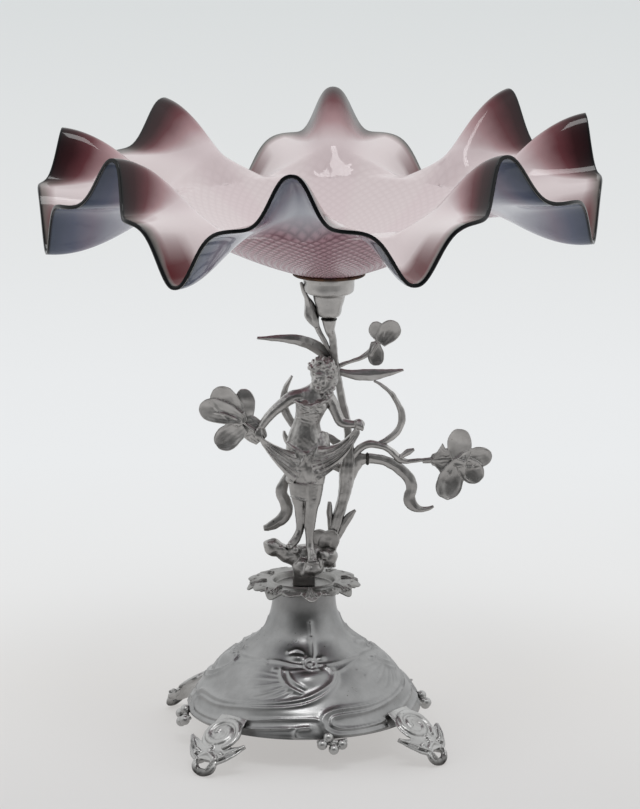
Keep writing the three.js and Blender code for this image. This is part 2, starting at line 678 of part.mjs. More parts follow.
// Glass dish
// The rim goes through its points and dips in turn: phase 0 is a point, phase 1 the next dip
const crimpTurns = tipAngles.flatMap((tip, k) => [tip, dipAngles[k]]);
crimpTurns.push(tipAngles[0] + 360);

const lobe = (distance, width) => Math.exp(-(Math.abs(distance / width) ** lobeSharpness));

function underside(out, phase) {
  const crimp = Math.min(Math.floor(phase), crimpTurns.length - 2);
  const angle = degrees(crimpTurns[crimp] + (crimpTurns[crimp + 1] - crimpTurns[crimp]) * (phase - crimp));
  const swing = Math.cos(Math.PI * phase);
  const tip = Math.round(phase / 2) % tipAngles.length;
  const dip = Math.floor(phase / 2) % dipAngles.length;
  const rimRadius = dishReach - (swing > 0 ? tipPulls[tip] : dipPull) * swing ** 2;
  const radius = dishSeatRadius + (rimRadius - dishSeatRadius) * out;
  const folded = Math.max(0, (radius - foldStart) / (rimRadius - foldStart));
  const grown = Math.sin(folded * Math.PI / 2);
  const nearTip = phase - 2 * Math.round(phase / 2);
  const nearDip = 1 - Math.abs(nearTip);
  const rimWave = rimSway * swing + (1 - rimSway) * (lobe(nearTip, tipLobe) - lobe(nearDip, dipLobe));
  const wave = swing + (rimWave - swing) * grown;
  const reach = swing > 0 ? tipRises[tip] : dipDrops[dip];
  const middle = cupAxis.clone().multiplyScalar(1 - out);
  const x = middle.x + radius * Math.sin(angle);
  const y = middle.y - radius * Math.cos(angle);
  const run = Math.min(radius, discRadius) - dishSeatRadius;
  const flange = flangeSlope * Math.max(0, radius - discRadius);
  const plain = seatHeight + (discSlope + discBow * run) * run + flange;
  return new THREE.Vector3(x, y, plain + reach * wave * grown + dishLean * x * out);
}

function glassDish() {
  const shares = [0, 0.28, 0.47, 0.6, 0.7, 0.84, 1];
  const stepsPerCrimp = 8;
  const crowding = 0.3; // the steps stand closer together at the points and dips
  const phases = [];
  for (let k = 0; k < (crimpTurns.length - 1) * stepsPerCrimp; k += 1) {
    const even = k / stepsPerCrimp;
    phases.push(even - crowding * Math.sin(2 * Math.PI * even) / (2 * Math.PI));
  }
  const nudge = 0.01;
  const upperSide = (out, phase) => {
    const point = underside(out, phase);
    const outward = underside(out + nudge, phase).sub(point);
    const around = underside(out, phase + nudge).sub(point);
    const normal = outward.cross(around).normalize();
    return point.addScaledVector(normal, Math.sign(normal.z) * dishWall);
  };
  const circle = (radius, height) => phases.map((phase) => {
    const seat = underside(0, phase);
    const share = radius / dishSeatRadius;
    const [x, y] = [seat.x - cupAxis.x, seat.y - cupAxis.y];
    return new THREE.Vector3(cupAxis.x + x * share, cupAxis.y + y * share, height);
  });
  return solid(skin([
    circle(pegTipRadius, pegTip),
    circle(pegRadius, seatHeight),
    ...shares.map((out) => phases.map((phase) => underside(out, phase))),
    ...shares.toReversed().map((out) => phases.map((phase) => upperSide(out, phase))),
    circle(dishSeatRadius * 0.5, seatHeight + dishWall),
  ]));
}

// Assembly
const silver = { color: 0x8f9190, roughness: 0.42, metalness: 1 };
const dullSilver = { color: 0x6d6b69, roughness: 0.5, metalness: 1 };
const materials = {
  glass: { color: 0x9a7d88, roughness: 0.08, metalness: 0 },
  silver,
  dullSilver,
  cork: { color: 0x8a6844, roughness: 0.9, metalness: 0 },
  leather: { color: 0x4b3524, roughness: 0.8, metalness: 0 },
  steel: { color: 0x777a7d, roughness: 0.35, metalness: 1 },
};

const bowl = new THREE.Group();

function addPiece(name, whole, material, turn = null) {
  const mesh = new THREE.Mesh(geometryOf(whole), new THREE.MeshStandardMaterial(materials[material]));
  mesh.name = name;
  if (turn !== null) {
    mesh.position.set(baseAxis.x, baseAxis.y, 0);
    mesh.rotation.z = degrees(turn);
  }
  bowl.add(mesh);
}

const stemSpace = mainStem(gap);
const maidenSpace = maiden(gap);
const branchSpace = rightBranch(gap);
const studSpace = disc(baseAxis, studRadius + gap, stemFoot - 1, stemFoot + studGrip + gap, 16);
const rockSpace = [stemSpace, maidenSpace, studSpace, rootLeaves(gap), stemSprouts(gap)];
const fitted = (whole, ...neighbours) => mainBody(cut(whole, ...neighbours));

addPiece('base_bell', baseBell(), 'silver');
const foot = scrollFoot();
const drop = berryDrop();
const corners = ['front_right', 'rear_right', 'rear_left', 'front_left'];
const sides = ['front', 'right', 'rear', 'left'];
quarterTurns.forEach((quarter, k) => {
  addPiece(`foot_${corners[k]}`, foot, 'silver', baseTurn + 45 + quarter);
  addPiece(`berry_drop_${sides[k]}`, drop, 'silver', baseTurn + berryTurn + quarter);
});
addPiece('petal_collar', petalCollar(), 'dullSilver');
addPiece('tie_stud', tieStud(), 'steel');
addPiece('tie_washer', tieWasher(), 'steel');
addPiece('tie_nut', tieNut(), 'steel');
addPiece('main_stem', mainStem(), 'dullSilver');
addPiece('bud_spray', fitted(budSpray(), stemSpace), 'dullSilver');
addPiece('maiden_figure', fitted(maiden(), stemSpace), 'dullSilver');
addPiece('rock_mound', fitted(rockMound(), ...rockSpace), 'dullSilver');
addPiece('right_branch', fitted(rightBranch(), stemSpace), 'dullSilver');
addPiece('curled_tendril_leaf', fitted(curledTendrilLeaf(), branchSpace), 'dullSilver');
addPiece('lower_right_leaf', fitted(lowerRightLeaf(), stemSpace, branchSpace), 'dullSilver');
addPiece('right_flower', fitted(rightFlower(), branchSpace), 'dullSilver');
addPiece('upper_left_leaf', fitted(upperLeftLeaf(), stemSpace, maidenSpace), 'dullSilver');
addPiece('upper_right_leaf', fitted(upperRightLeaf(), stemSpace), 'dullSilver');
addPiece('upper_right_flower', fitted(upperRightFlower(), stemSpace), 'dullSilver');
addPiece('left_flower', fitted(leftFlower(), maidenSpace), 'dullSilver');
addPiece('left_upper_leaf', fitted(leftUpperLeaf(), stemSpace, maidenSpace), 'dullSilver');
addPiece('left_lower_leaf', fitted(leftLowerLeaf(), stemSpace, maidenSpace), 'dullSilver');
addPiece('stem_sprouts', fitted(stemSprouts(), stemSpace), 'dullSilver');
const rootSpace = [stemSpace, maidenSpace, stemSprouts(gap)];
addPiece('root_leaves', fitted(rootLeaves(), ...rootSpace), 'dullSilver');
addPiece('socket_cup', socketCup(), 'dullSilver');
addPiece('cork_sleeve', corkSleeve(), 'cork');
addPiece('dish_washer', dishWasher(), 'leather');
addPiece('glass_dish', glassDish(), 'glass');

export default bowl;
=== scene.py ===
"""The looks of a footed bowl: a crimped glass dish on a plated stand with a maiden and a plant."""

import math

import bpy
import numpy as np
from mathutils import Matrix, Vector, noise


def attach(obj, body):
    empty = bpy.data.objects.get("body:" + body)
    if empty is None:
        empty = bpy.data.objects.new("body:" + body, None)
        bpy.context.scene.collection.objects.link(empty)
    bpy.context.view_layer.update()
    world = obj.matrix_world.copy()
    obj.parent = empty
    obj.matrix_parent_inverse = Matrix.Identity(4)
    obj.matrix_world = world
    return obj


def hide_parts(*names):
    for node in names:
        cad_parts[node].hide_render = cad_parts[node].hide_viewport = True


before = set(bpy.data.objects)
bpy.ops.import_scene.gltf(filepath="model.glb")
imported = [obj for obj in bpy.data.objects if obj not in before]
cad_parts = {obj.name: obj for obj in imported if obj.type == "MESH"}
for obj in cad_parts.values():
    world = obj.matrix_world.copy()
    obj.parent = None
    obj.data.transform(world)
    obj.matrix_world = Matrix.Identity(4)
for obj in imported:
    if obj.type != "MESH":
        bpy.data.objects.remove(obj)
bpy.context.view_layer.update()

# Base bell
# The hollow base, stamped from one sheet of white metal and silver plated. The stamp also
# raised its lines: on each of four sides a stalk, a curl, a shell with rays and a whiplash.
# Here and below, sizes are in millimetres and turns in degrees from the front.
bell_axis = np.array([-9.0, 2.0])
bell_height = 86.3
bell_reach = 65.5
bell_edge_height = 17.6
bell_neck = 17.4
bell_sheet = 1.2
bell_web = 1.6
stud_hole = 2.8
base_turn = 8.5
# The bell's outline from neck to edge: share of the way out, share of the height
bell_shares = [
    [0, 1], [0.025, 0.825], [0.127, 0.653], [0.366, 0.516],
    [0.615, 0.375], [0.823, 0.211], [0.97, 0.06], [1, 0],
]
# Lines of the relief: (height, half width) in mm, then points as degrees from the middle of
# the side and millimetres down the slope from the neck
bell_lines = [
    (1.7, 1.5, [(2, 24), (2, 29), (1, 34.5), (-0.5, 39)]),
    (1.1, 1.3, [(1.5, 16), (1.8, 20), (2, 24)]),
    (0.9, 0.9, [(-25, 33.6), (-17, 31.6), (-9, 33.2), (-6, 36.4)]),
    (1.3, 0.9, [(1.5, 45.6), (-2.5, 46.3), (-6.5, 44.6), (-7.8, 41.5), (-5.5, 38.4), (-1.5, 38),
                (1.4, 40.5), (0.6, 43.2), (-2.4, 43.8), (-3.9, 42)]),
    (0.9, 0.8, [(-47, 41.2), (-37, 40.4), (-28, 40.6), (-18, 41.8), (-9, 42.6)]),
    (0.9, 0.8, [(4, 42), (12, 42.2), (20, 41.9), (33, 41.2), (47, 41.2)]),
    (0.7, 0.8, [(-33, 46.3), (-20, 46.6), (-8, 45.8)]),
    (0.8, 0.8, [(14, 48.8), (21, 47.3), (29, 45.2), (38, 43.6), (47, 42.6)]),
    (1.3, 1.1, [(-26.5, 46), (-25.5, 49), (-24, 51.5), (-19, 56.5), (-10, 60.8)]),
    (0.8, 0.8, [(-20, 47.5), (-18, 51), (-14, 54.5), (-8, 57.5)]),
    (1.7, 1.5, [(10, 44.6), (13, 46.5), (14, 49.5), (12.5, 52.6), (9.4, 55.8), (0, 60.8),
                (-9, 64.2), (-21, 66.6), (-33, 68.3), (-46, 70.2), (-58, 71.3), (-69, 71.3),
                (-79, 71.3), (-85, 72.7), (-88.4, 75.9), (-88.3, 79.4), (-86.6, 83.2),
                (-80.6, 85.6), (-67, 86), (-54, 85.6)]),
    (1.3, 1.1, [(16, 48.8), (15.3, 52.2), (11, 57.5), (1.4, 63.7), (-10, 67.8), (-26.5, 70.3),
                (-41, 72), (-54, 73.8), (-65, 74.7), (-75, 74.6), (-82, 75.3), (-84, 77.5),
                (-83, 80.5), (-77, 82.6), (-65, 82.8), (-54, 82.2)]),
    (0.45, 0.5, [(-27, 49.4), (-40, 49), (-54, 49.4)]),
    (0.5, 0.5, [(-25, 52), (-38, 53), (-51, 54.6)]),
    (0.55, 0.5, [(-23, 54), (-34, 57), (-46, 60.4)]),
    (0.6, 0.5, [(-20.5, 56.2), (-30, 60.4), (-40, 64.4)]),
    (0.6, 0.5, [(-17.5, 58), (-25, 62), (-33, 65.8)]),
    (0.6, 0.5, [(-14, 59.6), (-19, 62.6), (-25, 65.4)]),
    (0.9, 0.8, [(-38, 78.8), (-28, 77.2), (-20, 76.2), (-4, 75.8), (-0.5, 77), (0.5, 79)]),
    (0.9, 0.8, [(-38, 83.6), (-28, 82.4), (-19, 81.4), (-6, 80.8)]),
    (1.1, 1.1, [(-6, 80.8), (-11, 81.4), (-12.6, 84), (-11, 87), (-4, 87.6)]),
]
# Bosses: height, degrees, millimetres down the slope, half width and half length in mm
bell_bosses = [
    (1.9, -14.5, 37.4, 4.4, 2.1), (1.2, 7.5, 38.2, 2.6, 1.6), (1.2, -2.6, 41.8, 1.6, 1.6),
    (2.1, -6, 51.5, 8.5, 5.2), (0.8, 3, 48.5, 6, 3), (0.8, -45, 57, 9, 8),
    (0.9, -30, 72.5, 26, 3.2), (0.6, -45, 78, 8, 7),
]


def spline(points, count):
    """A smooth line through points, in that many points, evenly spaced from knot to knot."""
    points = np.array(points, float)
    ends = [2 * points[:1] - points[1:2], points, 2 * points[-1:] - points[-2:-1]]
    padded = np.concatenate(ends)
    place = np.linspace(0, len(points) - 1, count)
    low = np.minimum(place.astype(int), len(points) - 2)
    part = (place - low)[:, None]
    a, b, c, d = (padded[low + k] for k in range(4))
    return 0.5 * (2 * b + (c - a) * part + (2 * a - 5 * b + 4 * c - d) * part**2
                  + (3 * b - a - 3 * c + d) * part**3)


def band_faces(rows, columns):
    """Faces between rings of points, each ring joined to the next."""
    faces = []
    for row in range(rows - 1):
        for k in range(columns):
            a, b = row * columns + k, row * columns + (k + 1) % columns
            faces.append((a, b, b + columns, a + columns))
    return faces


def upright_ring(axis, turns, out, up):
    """A ring about an upright axis: how far out and how high it is at each turn, in radians."""
    return np.stack([axis[0] + out * np.sin(turns), axis[1] - out * np.cos(turns),
                     np.broadcast_to(up, turns.shape)], 1)


def ring_skin(rings):
    """A closed skin through rings of points, the last ring joined to the first."""
    rows, columns = len(rings), len(rings[0])
    last = (rows - 1) * columns
    faces = band_faces(rows, columns)
    for k in range(columns):
        after = (k + 1) % columns
        faces.append((last + k, last + after, after, k))
    return np.concatenate(rings), faces


def linear(colour):
    """An sRGB hex value as the linear colour that a shader takes."""
    shares = [int(colour[k:k + 2], 16) / 255 for k in (1, 3, 5)]
    return [*(s / 12.92 if s <= 0.04045 else ((s + 0.055) / 1.055) ** 2.4 for s in shares), 1]


def fill(material, node, inputs):
    """Each named socket of a node gets a value, or a link from another node's output."""
    for name, value in inputs.items():
        if isinstance(value, bpy.types.NodeSocket):
            material.node_tree.links.new(value, node.inputs[name])
        else:
            node.inputs[name].default_value = value


def add(material, kind, inputs=None, stops=(), **settings):
    """One shader node with its settings, its inputs, and a colour ramp's stops."""
    node = material.node_tree.nodes.new(kind)
    for name, value in settings.items():
        setattr(node, name, value)
    fill(material, node, inputs or {})
    for k, (place, colour) in enumerate(stops):
        elements = node.color_ramp.elements
        stop = elements[k] if k < len(elements) else elements.new(place)
        stop.position = place
        stop.color = linear(colour) if isinstance(colour, str) else (colour, colour, colour, 1)
    return node


def new_material(name):
    """A material by its name, and its shader."""
    material = bpy.data.materials.new(name)
    material.use_nodes = True
    return material, material.node_tree.nodes["Principled BSDF"]


def plated_metal(name, bright, dull, dark, roughness, grain_mm, wear, painted_low_shade=0.0):
    """Silver plate over cast white metal: satin where it is handled, dark in its recesses."""
    material, shader = new_material(name)
    place = add(material, "ShaderNodeTexCoord").outputs["Object"]
    clouds = add(material, "ShaderNodeTexNoise", {
        "Vector": place, "Scale": 1000 / 14, "Detail": 5.0, "Roughness": 0.62})
    tarnish = add(material, "ShaderNodeValToRGB", {"Fac": clouds.outputs["Fac"]},
                  [(0.32, dull), (0.66, bright)])
    recess = add(material, "ShaderNodeAmbientOcclusion", {"Distance": 0.004}, samples=6)
    depth = add(material, "ShaderNodeValToRGB", {"Fac": recess.outputs["AO"]},
                [(0.15, 1.0), (0.72, 0.0)])
    height = add(material, "ShaderNodeSeparateXYZ", {"Vector": place}).outputs["Z"]
    # Below the figure's waist the colour is darkened by height alone: painted shade, for the dark
    # room that the lower parts reflect
    low = add(material, "ShaderNodeMapRange", {
        "Value": height, "From Min": 0.175, "From Max": 0.125, "To Max": painted_low_shade})
    # The patina of the hollows and the painted shade below the waist, together
    patina_and_low_shade = add(material, "ShaderNodeMath", {
        0: depth.outputs["Color"], 1: low.outputs["Result"]}, use_clamp=True)
    patina_and_painted_shade = add(material, "ShaderNodeMix", {
        "Factor": patina_and_low_shade.outputs[0], "A": tarnish.outputs["Color"], "B": linear(dark)},
        data_type="RGBA")
    specks = add(material, "ShaderNodeTexNoise", {
        "Vector": place, "Scale": 1000 / 2.4, "Detail": 3.0, "Roughness": 0.7})
    worn = add(material, "ShaderNodeValToRGB", {"Fac": specks.outputs["Fac"]},
               [(0.7 - wear * 0.06, 0.0), (0.76, 1.0)])
    # The plate is rubbed through and black where the toes stand
    rubbed = add(material, "ShaderNodeMapRange", {
        "Value": height, "From Min": 0.006, "From Max": 0.002}).outputs["Result"]
    patches = add(material, "ShaderNodeMath", {0: rubbed, 1: clouds.outputs["Fac"]},
                  operation="MULTIPLY")
    bare = add(material, "ShaderNodeMath", {0: patches.outputs[0], 1: 2.0, 2: worn.outputs["Color"]},
               operation="MULTIPLY_ADD", use_clamp=True)
    finish = add(material, "ShaderNodeMix", {
        "Factor": bare.outputs[0], "A": patina_and_painted_shade.outputs["Result"], "B": linear(dark)},
        data_type="RGBA")
    # The fine grain of the surface, drawn coarser than it is so that it shows
    grain = add(material, "ShaderNodeTexNoise", {
        "Vector": place, "Scale": 1000 / grain_mm, "Detail": 4.0, "Roughness": 0.6})
    polish = add(material, "ShaderNodeMapRange", {
        "Value": clouds.outputs["Fac"], "To Min": roughness - 0.06, "To Max": roughness + 0.1})
    bump = add(material, "ShaderNodeBump", {
        "Height": grain.outputs["Fac"], "Strength": 0.3, "Distance": 0.0002})
    fill(material, shader, {
        "Base Color": finish.outputs["Result"], "Metallic": 1.0,
        "Roughness": polish.outputs["Result"], "Normal": bump.outputs["Normal"]})
    return material


def make_piece(name, points, faces, material, nodes=(), body="stand", slot="dull_silver"):
    """A smooth piece from points in millimetres. It rides on a body in place of its solids."""
    mesh = bpy.data.meshes.new(name)
    mesh.from_pydata((np.asarray(points) / 1000).tolist(), [], faces)
    mesh.shade_smooth()
    mesh.validate()
    mesh.materials.append(material)
    piece = bpy.data.objects.new(name, mesh)
    bpy.context.scene.collection.objects.link(piece)
    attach(piece, body)
    if nodes:
        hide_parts(*nodes)
    return piece


def relief_height(degrees, down, radius):
    """How far the stamp raised the bell, in mm, over a grid of one quarter of it."""
    raised = np.zeros_like(degrees)
    for height, width, path in bell_lines:
        line = spline(path, 12 * len(path))
        nearest = np.full(degrees.shape, 1e6)
        for shift in (-90, 0, 90):
            for angle, low in line:
                across = np.radians(degrees - angle - shift) * radius
                nearest = np.minimum(nearest, across**2 + (down - low)**2)
        ridge = 0.9 * height * np.exp(-(np.sqrt(nearest) / (1.1 * width))**1.5)
        raised = np.maximum(ridge, raised) + 0.25 * np.minimum(ridge, raised)
    for height, angle, low, half_width, half_length in bell_bosses:
        for shift in (-90, 0, 90):
            across = np.radians(degrees - angle - shift) * radius / half_width
            raised += height * np.exp(-across**2 - ((down - low) / half_length)**2)
    return raised


def stamped_bell():
    """The bell's skin, from the hole for the stud out to the edge and back up inside."""
    rows, quarter = 170, 132
    share = spline(bell_shares, rows)
    radius = bell_neck + (bell_reach - bell_neck) * share[:, 0]
    height = bell_edge_height + (bell_height - bell_edge_height) * share[:, 1]
    slope = np.stack([np.gradient(radius), np.gradient(height)], 1)
    slope /= np.linalg.norm(slope, axis=1)[:, None]
    steps = np.hypot(np.diff(radius), np.diff(height))
    down = np.concatenate([[0], np.cumsum(steps)])
    degrees = np.arange(quarter) * 90 / quarter - 45
    angle_grid, down_grid = np.meshgrid(degrees, down)
    raised = relief_height(angle_grid, down_grid, radius[:, None])
    raised *= np.clip((down_grid[-1:] - down_grid) / 1.2, 0, 1)
    raised = np.tile(raised, (1, 4))
    turns = np.radians(np.tile(degrees, 4) + np.repeat([0, 90, 180, 270], quarter))
    turns = turns + math.radians(base_turn)

    def wall_ring(row, lift):
        """One ring of the wall, lifted off its plain outline by so much at each turn."""
        return upright_ring(bell_axis, turns, radius[row] - slope[row, 1] * lift,
                            height[row] + slope[row, 0] * lift)

    web_low = bell_height - bell_web
    rings = [upright_ring(bell_axis, turns, stud_hole, bell_height),
             upright_ring(bell_axis, turns, bell_neck - 1, bell_height)]
    rings += [wall_ring(row, raised[row]) for row in range(rows)]
    rings += [wall_ring(row, raised[row] - bell_sheet) for row in reversed(range(3, rows))]
    rings += [upright_ring(bell_axis, turns, bell_neck - 2, web_low),
              upright_ring(bell_axis, turns, stud_hole, web_low)]
    return ring_skin(rings)


# The stamped sheet keeps a smooth, even grey sheen, with little wear
satin_silver = plated_metal(
    "satin_silver_plate", bright="#979797", dull="#858585", dark="#353433", roughness=0.28,
    grain_mm=0.5, wear=0.0)
make_piece("stamped_bell", *stamped_bell(), satin_silver, ["base_bell"], slot="satin_silver")

# Scroll feet
# Four cast feet, soldered under the corners of the bell. Each is a plate that rolls into a
# volute and goes on into a ring toe between two leaves, worn dark where it stands.
foot_reach = 95
foot_slope = 33
foot_plate = 1.7
volute_out = foot_reach - 19.6
volute_height = 19
volute_boss = 12.2
# The volute's spiral: its turns, its start in radians, and its reach at start and end
spiral_turns = 1.7
spiral_start = 0.6
spiral_reach = [11.4, 2.6]
# The toe's plane, where its ring stands, and the size of its hoop
toe_slope = 58
toe_ring = 5.2
toe_wire = 1.9
toe_hoop = 6
leaf_droop = 4
# One fixed seed, so that the castings are uneven in the same way at each run
noise.seed_set(8)


def shell_of(rings):
    """A closed skin through rings of points, with a fan over the first and the last ring."""
    rows, columns = len(rings), len(rings[0])
    points = np.concatenate([*rings, [rings[0].mean(0)], [rings[-1].mean(0)]])
    first, last = rows * columns, rows * columns + 1
    faces = band_faces(rows, columns)
    for k in range(columns):
        after = (k + 1) % columns
        faces.append((first, after, k))
        faces.append((last, last - 1 - columns + k, last - 1 - columns + after))
    return points, faces


def frame_along(points, face):
    """For each point of a line: the direction across the line and the one nearest to face."""
    along = np.gradient(points, axis=0)
    along /= np.linalg.norm(along, axis=1)[:, None]
    face = np.broadcast_to(np.array(face, float), along.shape)
    deep = face - along * (along * face).sum(1)[:, None]
    deep /= np.linalg.norm(deep, axis=1)[:, None]
    return np.cross(along, deep), deep


def limb(points, sides=14, steps=4, face=(0, 1, 0), depth=None, trough=0.0):
    """A stem, leaf or limb through [x, y, z, width, depth]. A trough bends it like a leaf."""
    rows = [[*p[:4], p[4] if len(p) > 4 else (depth or p[3])] for p in points]
    line = spline(rows, steps * (len(rows) - 1) + 1)
    wide, deep = frame_along(line[:, :3], face)
    rings = []
    for k, row in enumerate(line):
        angle = 2 * math.pi * (np.arange(sides) + 0.5) / sides
        across = row[3] / 2 * np.cos(angle)
        level = row[4] / 2 * np.sin(angle) + trough * (np.abs(across) - row[3] / 4)
        rings.append(row[:3] + across[:, None] * wide[k] + level[:, None] * deep[k])
    return shell_of(rings)


def ball(x, y, z, width, depth=None, height=None, tilt=0.0, sides=16):
    """An egg at a point, tilted about the line from front to back."""
    depth = width if depth is None else depth
    height = width if height is None else height
    turn = np.radians(tilt)
    rings = []
    for rise in np.linspace(-0.97, 0.97, sides // 2 + 1):
        level = math.sin(rise * math.pi / 2)
        round_at = math.cos(rise * math.pi / 2)
        angle = 2 * math.pi * np.arange(sides) / sides
        px, py = width * round_at * np.cos(angle), depth * round_at * np.sin(angle)
        pz = np.full(sides, height * level)
        rings.append(np.stack([
            x + px * np.cos(turn) + pz * np.sin(turn), y + py,
            z - px * np.sin(turn) + pz * np.cos(turn)], 1))
    return shell_of(rings)


def merge(shapes):
    """Several shapes as one set of points and faces."""
    points, faces, count = [], [], 0
    for shape_points, shape_faces in shapes:
        points.append(shape_points)
        faces += [tuple(index + count for index in face) for face in shape_faces]
        count += len(shape_points)
    return np.concatenate(points), faces


def fused(shapes, voxel, rounds=4, strength=0.5):
    """Shapes melted into one casting: remeshed at a voxel in mm, then smoothed."""
    points, faces = merge(shapes)
    mesh = bpy.data.meshes.new("shapes")
    mesh.from_pydata(points.tolist(), [], faces)
    model = bpy.data.objects.new("shapes", mesh)
    bpy.context.scene.collection.objects.link(model)
    remesh = model.modifiers.new("melt", "REMESH")
    remesh.mode = "VOXEL"
    remesh.voxel_size = voxel
    smooth = model.modifiers.new("smooth", "SMOOTH")
    smooth.factor = strength
    smooth.iterations = rounds
    bpy.context.view_layer.update()
    result = model.evaluated_get(bpy.context.evaluated_depsgraph_get()).to_mesh()
    count = len(result.vertices)
    flat = np.empty(count * 3, np.float32)
    result.vertices.foreach_get("co", flat)
    melted = [tuple(polygon.vertices) for polygon in result.polygons]
    bpy.data.objects.remove(model)
    bpy.data.meshes.remove(mesh)
    return flat.reshape(-1, 3).astype(float), melted


def ruffled(points, size, amount):
    """The same points pushed about by soft noise, as a hand-finished casting is uneven."""
    pushes = [noise.noise_vector(Vector(p) / size) for p in points]
    return points + amount * np.array([tuple(push) for push in pushes])


def sloped(shape, slope, out, height):
    """A shape drawn flat, x across and y outwards, laid on a plane that falls outwards."""
    points, faces = shape
    fall = math.radians(slope)
    x, run, lift = points[:, 0], points[:, 1], points[:, 2]
    placed = np.stack([x, -(out + run * math.cos(fall) + lift * math.sin(fall)),
                       height - run * math.sin(fall) + lift * math.cos(fall)], 1)
    return placed, faces


def scroll_foot():
    """One foot as cast, drawn at the front: its volute, its ring toe, and the leaves between."""
    turns = np.linspace(0, spiral_turns * 2 * math.pi, 90)
    reach = np.linspace(*spiral_reach, 90)
    swell = np.minimum(1, 0.5 + turns / 3)
    spiral = [[r * math.sin(t + spiral_start), r * math.cos(t + spiral_start), foot_plate * 0.6,
               4 * s, 3 * s] for t, r, s in zip(turns, reach, swell)]
    volute = [
        ball(0, 0, 0, volute_boss, volute_boss, foot_plate),
        limb(spiral, face=(0, 0, 1), steps=1),
        limb([[0, -2, 0, 21, 2.6], [0, -13.5, 0.2, 18, 2.4]], face=(0, 0, 1)),
        limb([[0, 5, -0.4, 18, 2.6], [0, 10, -2, 17, 2.8], [0, 15, -4.6, 16, 3]],
             face=(0, 0, 1)),
    ]
    shapes = [sloped(shape, foot_slope, volute_out, volute_height) for shape in volute]
    toe_out = foot_reach - toe_ring * math.cos(math.radians(toe_slope))
    toe_rise = toe_ring * math.sin(math.radians(toe_slope)) + toe_wire - 0.6
    hoop = [[(toe_hoop + 1.3 * math.cos(t)) * math.sin(t), 5.4 * math.cos(t) - 1.6, -0.5,
             3.8 + 0.8 * math.cos(t), 3.2] for t in np.linspace(0, 2 * math.pi, 33)]
    toe = [limb(hoop, face=(0, 0, 1), steps=1, sides=10)]
    for side in (-1, 1):
        toe.append(limb([[side * 5.6, -2.4, 1.9, 1.2], [side * 3.4, 2.4, 1.9, 1.2]], sides=8))
    shapes += [sloped(shape, toe_slope, toe_out, toe_rise) for shape in toe]
    # Two veined leaves spread from the toe, each with a small flower, and a third between them
    fall = math.radians(foot_slope + leaf_droop)
    face = (0, -math.sin(fall), math.cos(fall))
    for side in (-1, 1):
        tip = [[side * 2.5, 2.6, 1.8, 7, 3.6], [side * 7.5, 5.6, 4.4, 9.6, 3],
               [side * 12.6, 9.6, 7.2, 7.6, 2.4], [side * 18.2, 14.4, 10, 1.6, 1.3]]
        leaf = [[x, run - toe_out, rise + toe_rise, *size] for x, run, rise, *size in tip]
        shapes.append(limb(leaf, face=face, trough=0.2))
        for rib in (-0.28, 0.05, 0.34):
            vein = [[x + side * rib * size[0] * 0.6, y - rib * size[0] * 0.6 - 0.9, z + 1.2, 1.0]
                    for x, y, z, *size in leaf]
            shapes.append(limb(vein, face=face, sides=8))
        for k in range(5):
            turn = 2 * math.pi * k / 5
            shapes.append(ball(side * 8 + 1.5 * math.sin(turn), 4.8 - toe_out,
                               toe_rise + 5.4 + 1.5 * math.cos(turn), 1.15, 1.3, 1.1))
        shapes.append(ball(side * 8, 3.8 - toe_out, toe_rise + 5.4, 1.1))
    shapes.append(limb([[0, 1.4 - toe_out, toe_rise + 2.4, 10, 2.6],
                        [0, 4.8 - toe_out, toe_rise + 4.8, 15, 2.8],
                        [0, 9.4 - toe_out, toe_rise + 7.6, 17, 2.6]], face=face))
    for k in range(3):
        shapes.append(ball(0, 3.6 + 1.9 * k - toe_out, toe_rise + 6.2 + 1.3 * k, 1.5 - 0.2 * k,
                           1.3, 1.1))
    points, faces = fused(shapes, voxel=0.4, rounds=2, strength=0.4)
    uneven = ruffled(points, size=2.2, amount=0.14)
    uneven[:, 2] = np.maximum(uneven[:, 2], 0)
    return uneven, faces


def turned_copy(points, turn):
    """Points made at the front of an upright axis, turned into their place round the bell."""
    angle = math.radians(turn)
    x, y = points[:, 0], points[:, 1]
    return np.stack([bell_axis[0] + x * math.cos(angle) - y * math.sin(angle),
                     bell_axis[1] + x * math.sin(angle) + y * math.cos(angle), points[:, 2]], 1)


# Sand-cast and brighter than the bell, with specks where the plate has worn
cast_silver = plated_metal(
    "cast_silver_plate", bright="#b4b4b3", dull="#a09f9e", dark="#343230", roughness=0.31,
    grain_mm=0.5, wear=0.45)
foot_points, foot_faces = scroll_foot()
corners = ("front_right", "rear_right", "rear_left", "front_left")
for k, corner in enumerate(corners):
    placed = turned_copy(foot_points, base_turn + 45 + 90 * k)
    make_piece(f"scroll_foot_{corner}", placed, foot_faces, cast_silver, [f"foot_{corner}"],
               slot="satin_silver")

# Berry drops
# A sprig of four berries at the middle of each side, cast in one with its short stalks and
# soldered to the bell's edge, from which it hangs.
berry_radius = 2.95
berry_turn = 4.5


def berry_drop():
    """One sprig as cast, drawn at the front."""
    out = bell_reach + berry_radius + 1.3
    height = bell_edge_height - 2
    berries = [(-5.6, 0, 0.4), (0.7, 1, -2.4), (5.7, 0, -0.2), (-1.7, -2, 3.6)]
    shapes = [ball(across, -out - further, height + up, berry_radius)
              for across, further, up in berries]
    shapes += [
        limb([[-8, -out + 2.6, height + 2, 2.4], [-3, -out + 2, height + 1, 3.2],
              [3, -out + 2, height + 0.6, 3.2], [9, -out + 2.4, height + 1.6, 2]]),
        limb([[0, -out + 2.6, height + 4, 3], [0.3, -out + 1.6, height - 1, 3]]),
    ]
    return fused(shapes, voxel=0.34, rounds=2, strength=0.4)


berry_points, berry_faces = berry_drop()
for k, side in enumerate(("front", "right", "rear", "left")):
    placed = turned_copy(berry_points, base_turn + berry_turn + 90 * k)
    make_piece(f"berry_sprig_{side}", placed, berry_faces, cast_silver, [f"berry_drop_{side}"],
               slot="satin_silver")

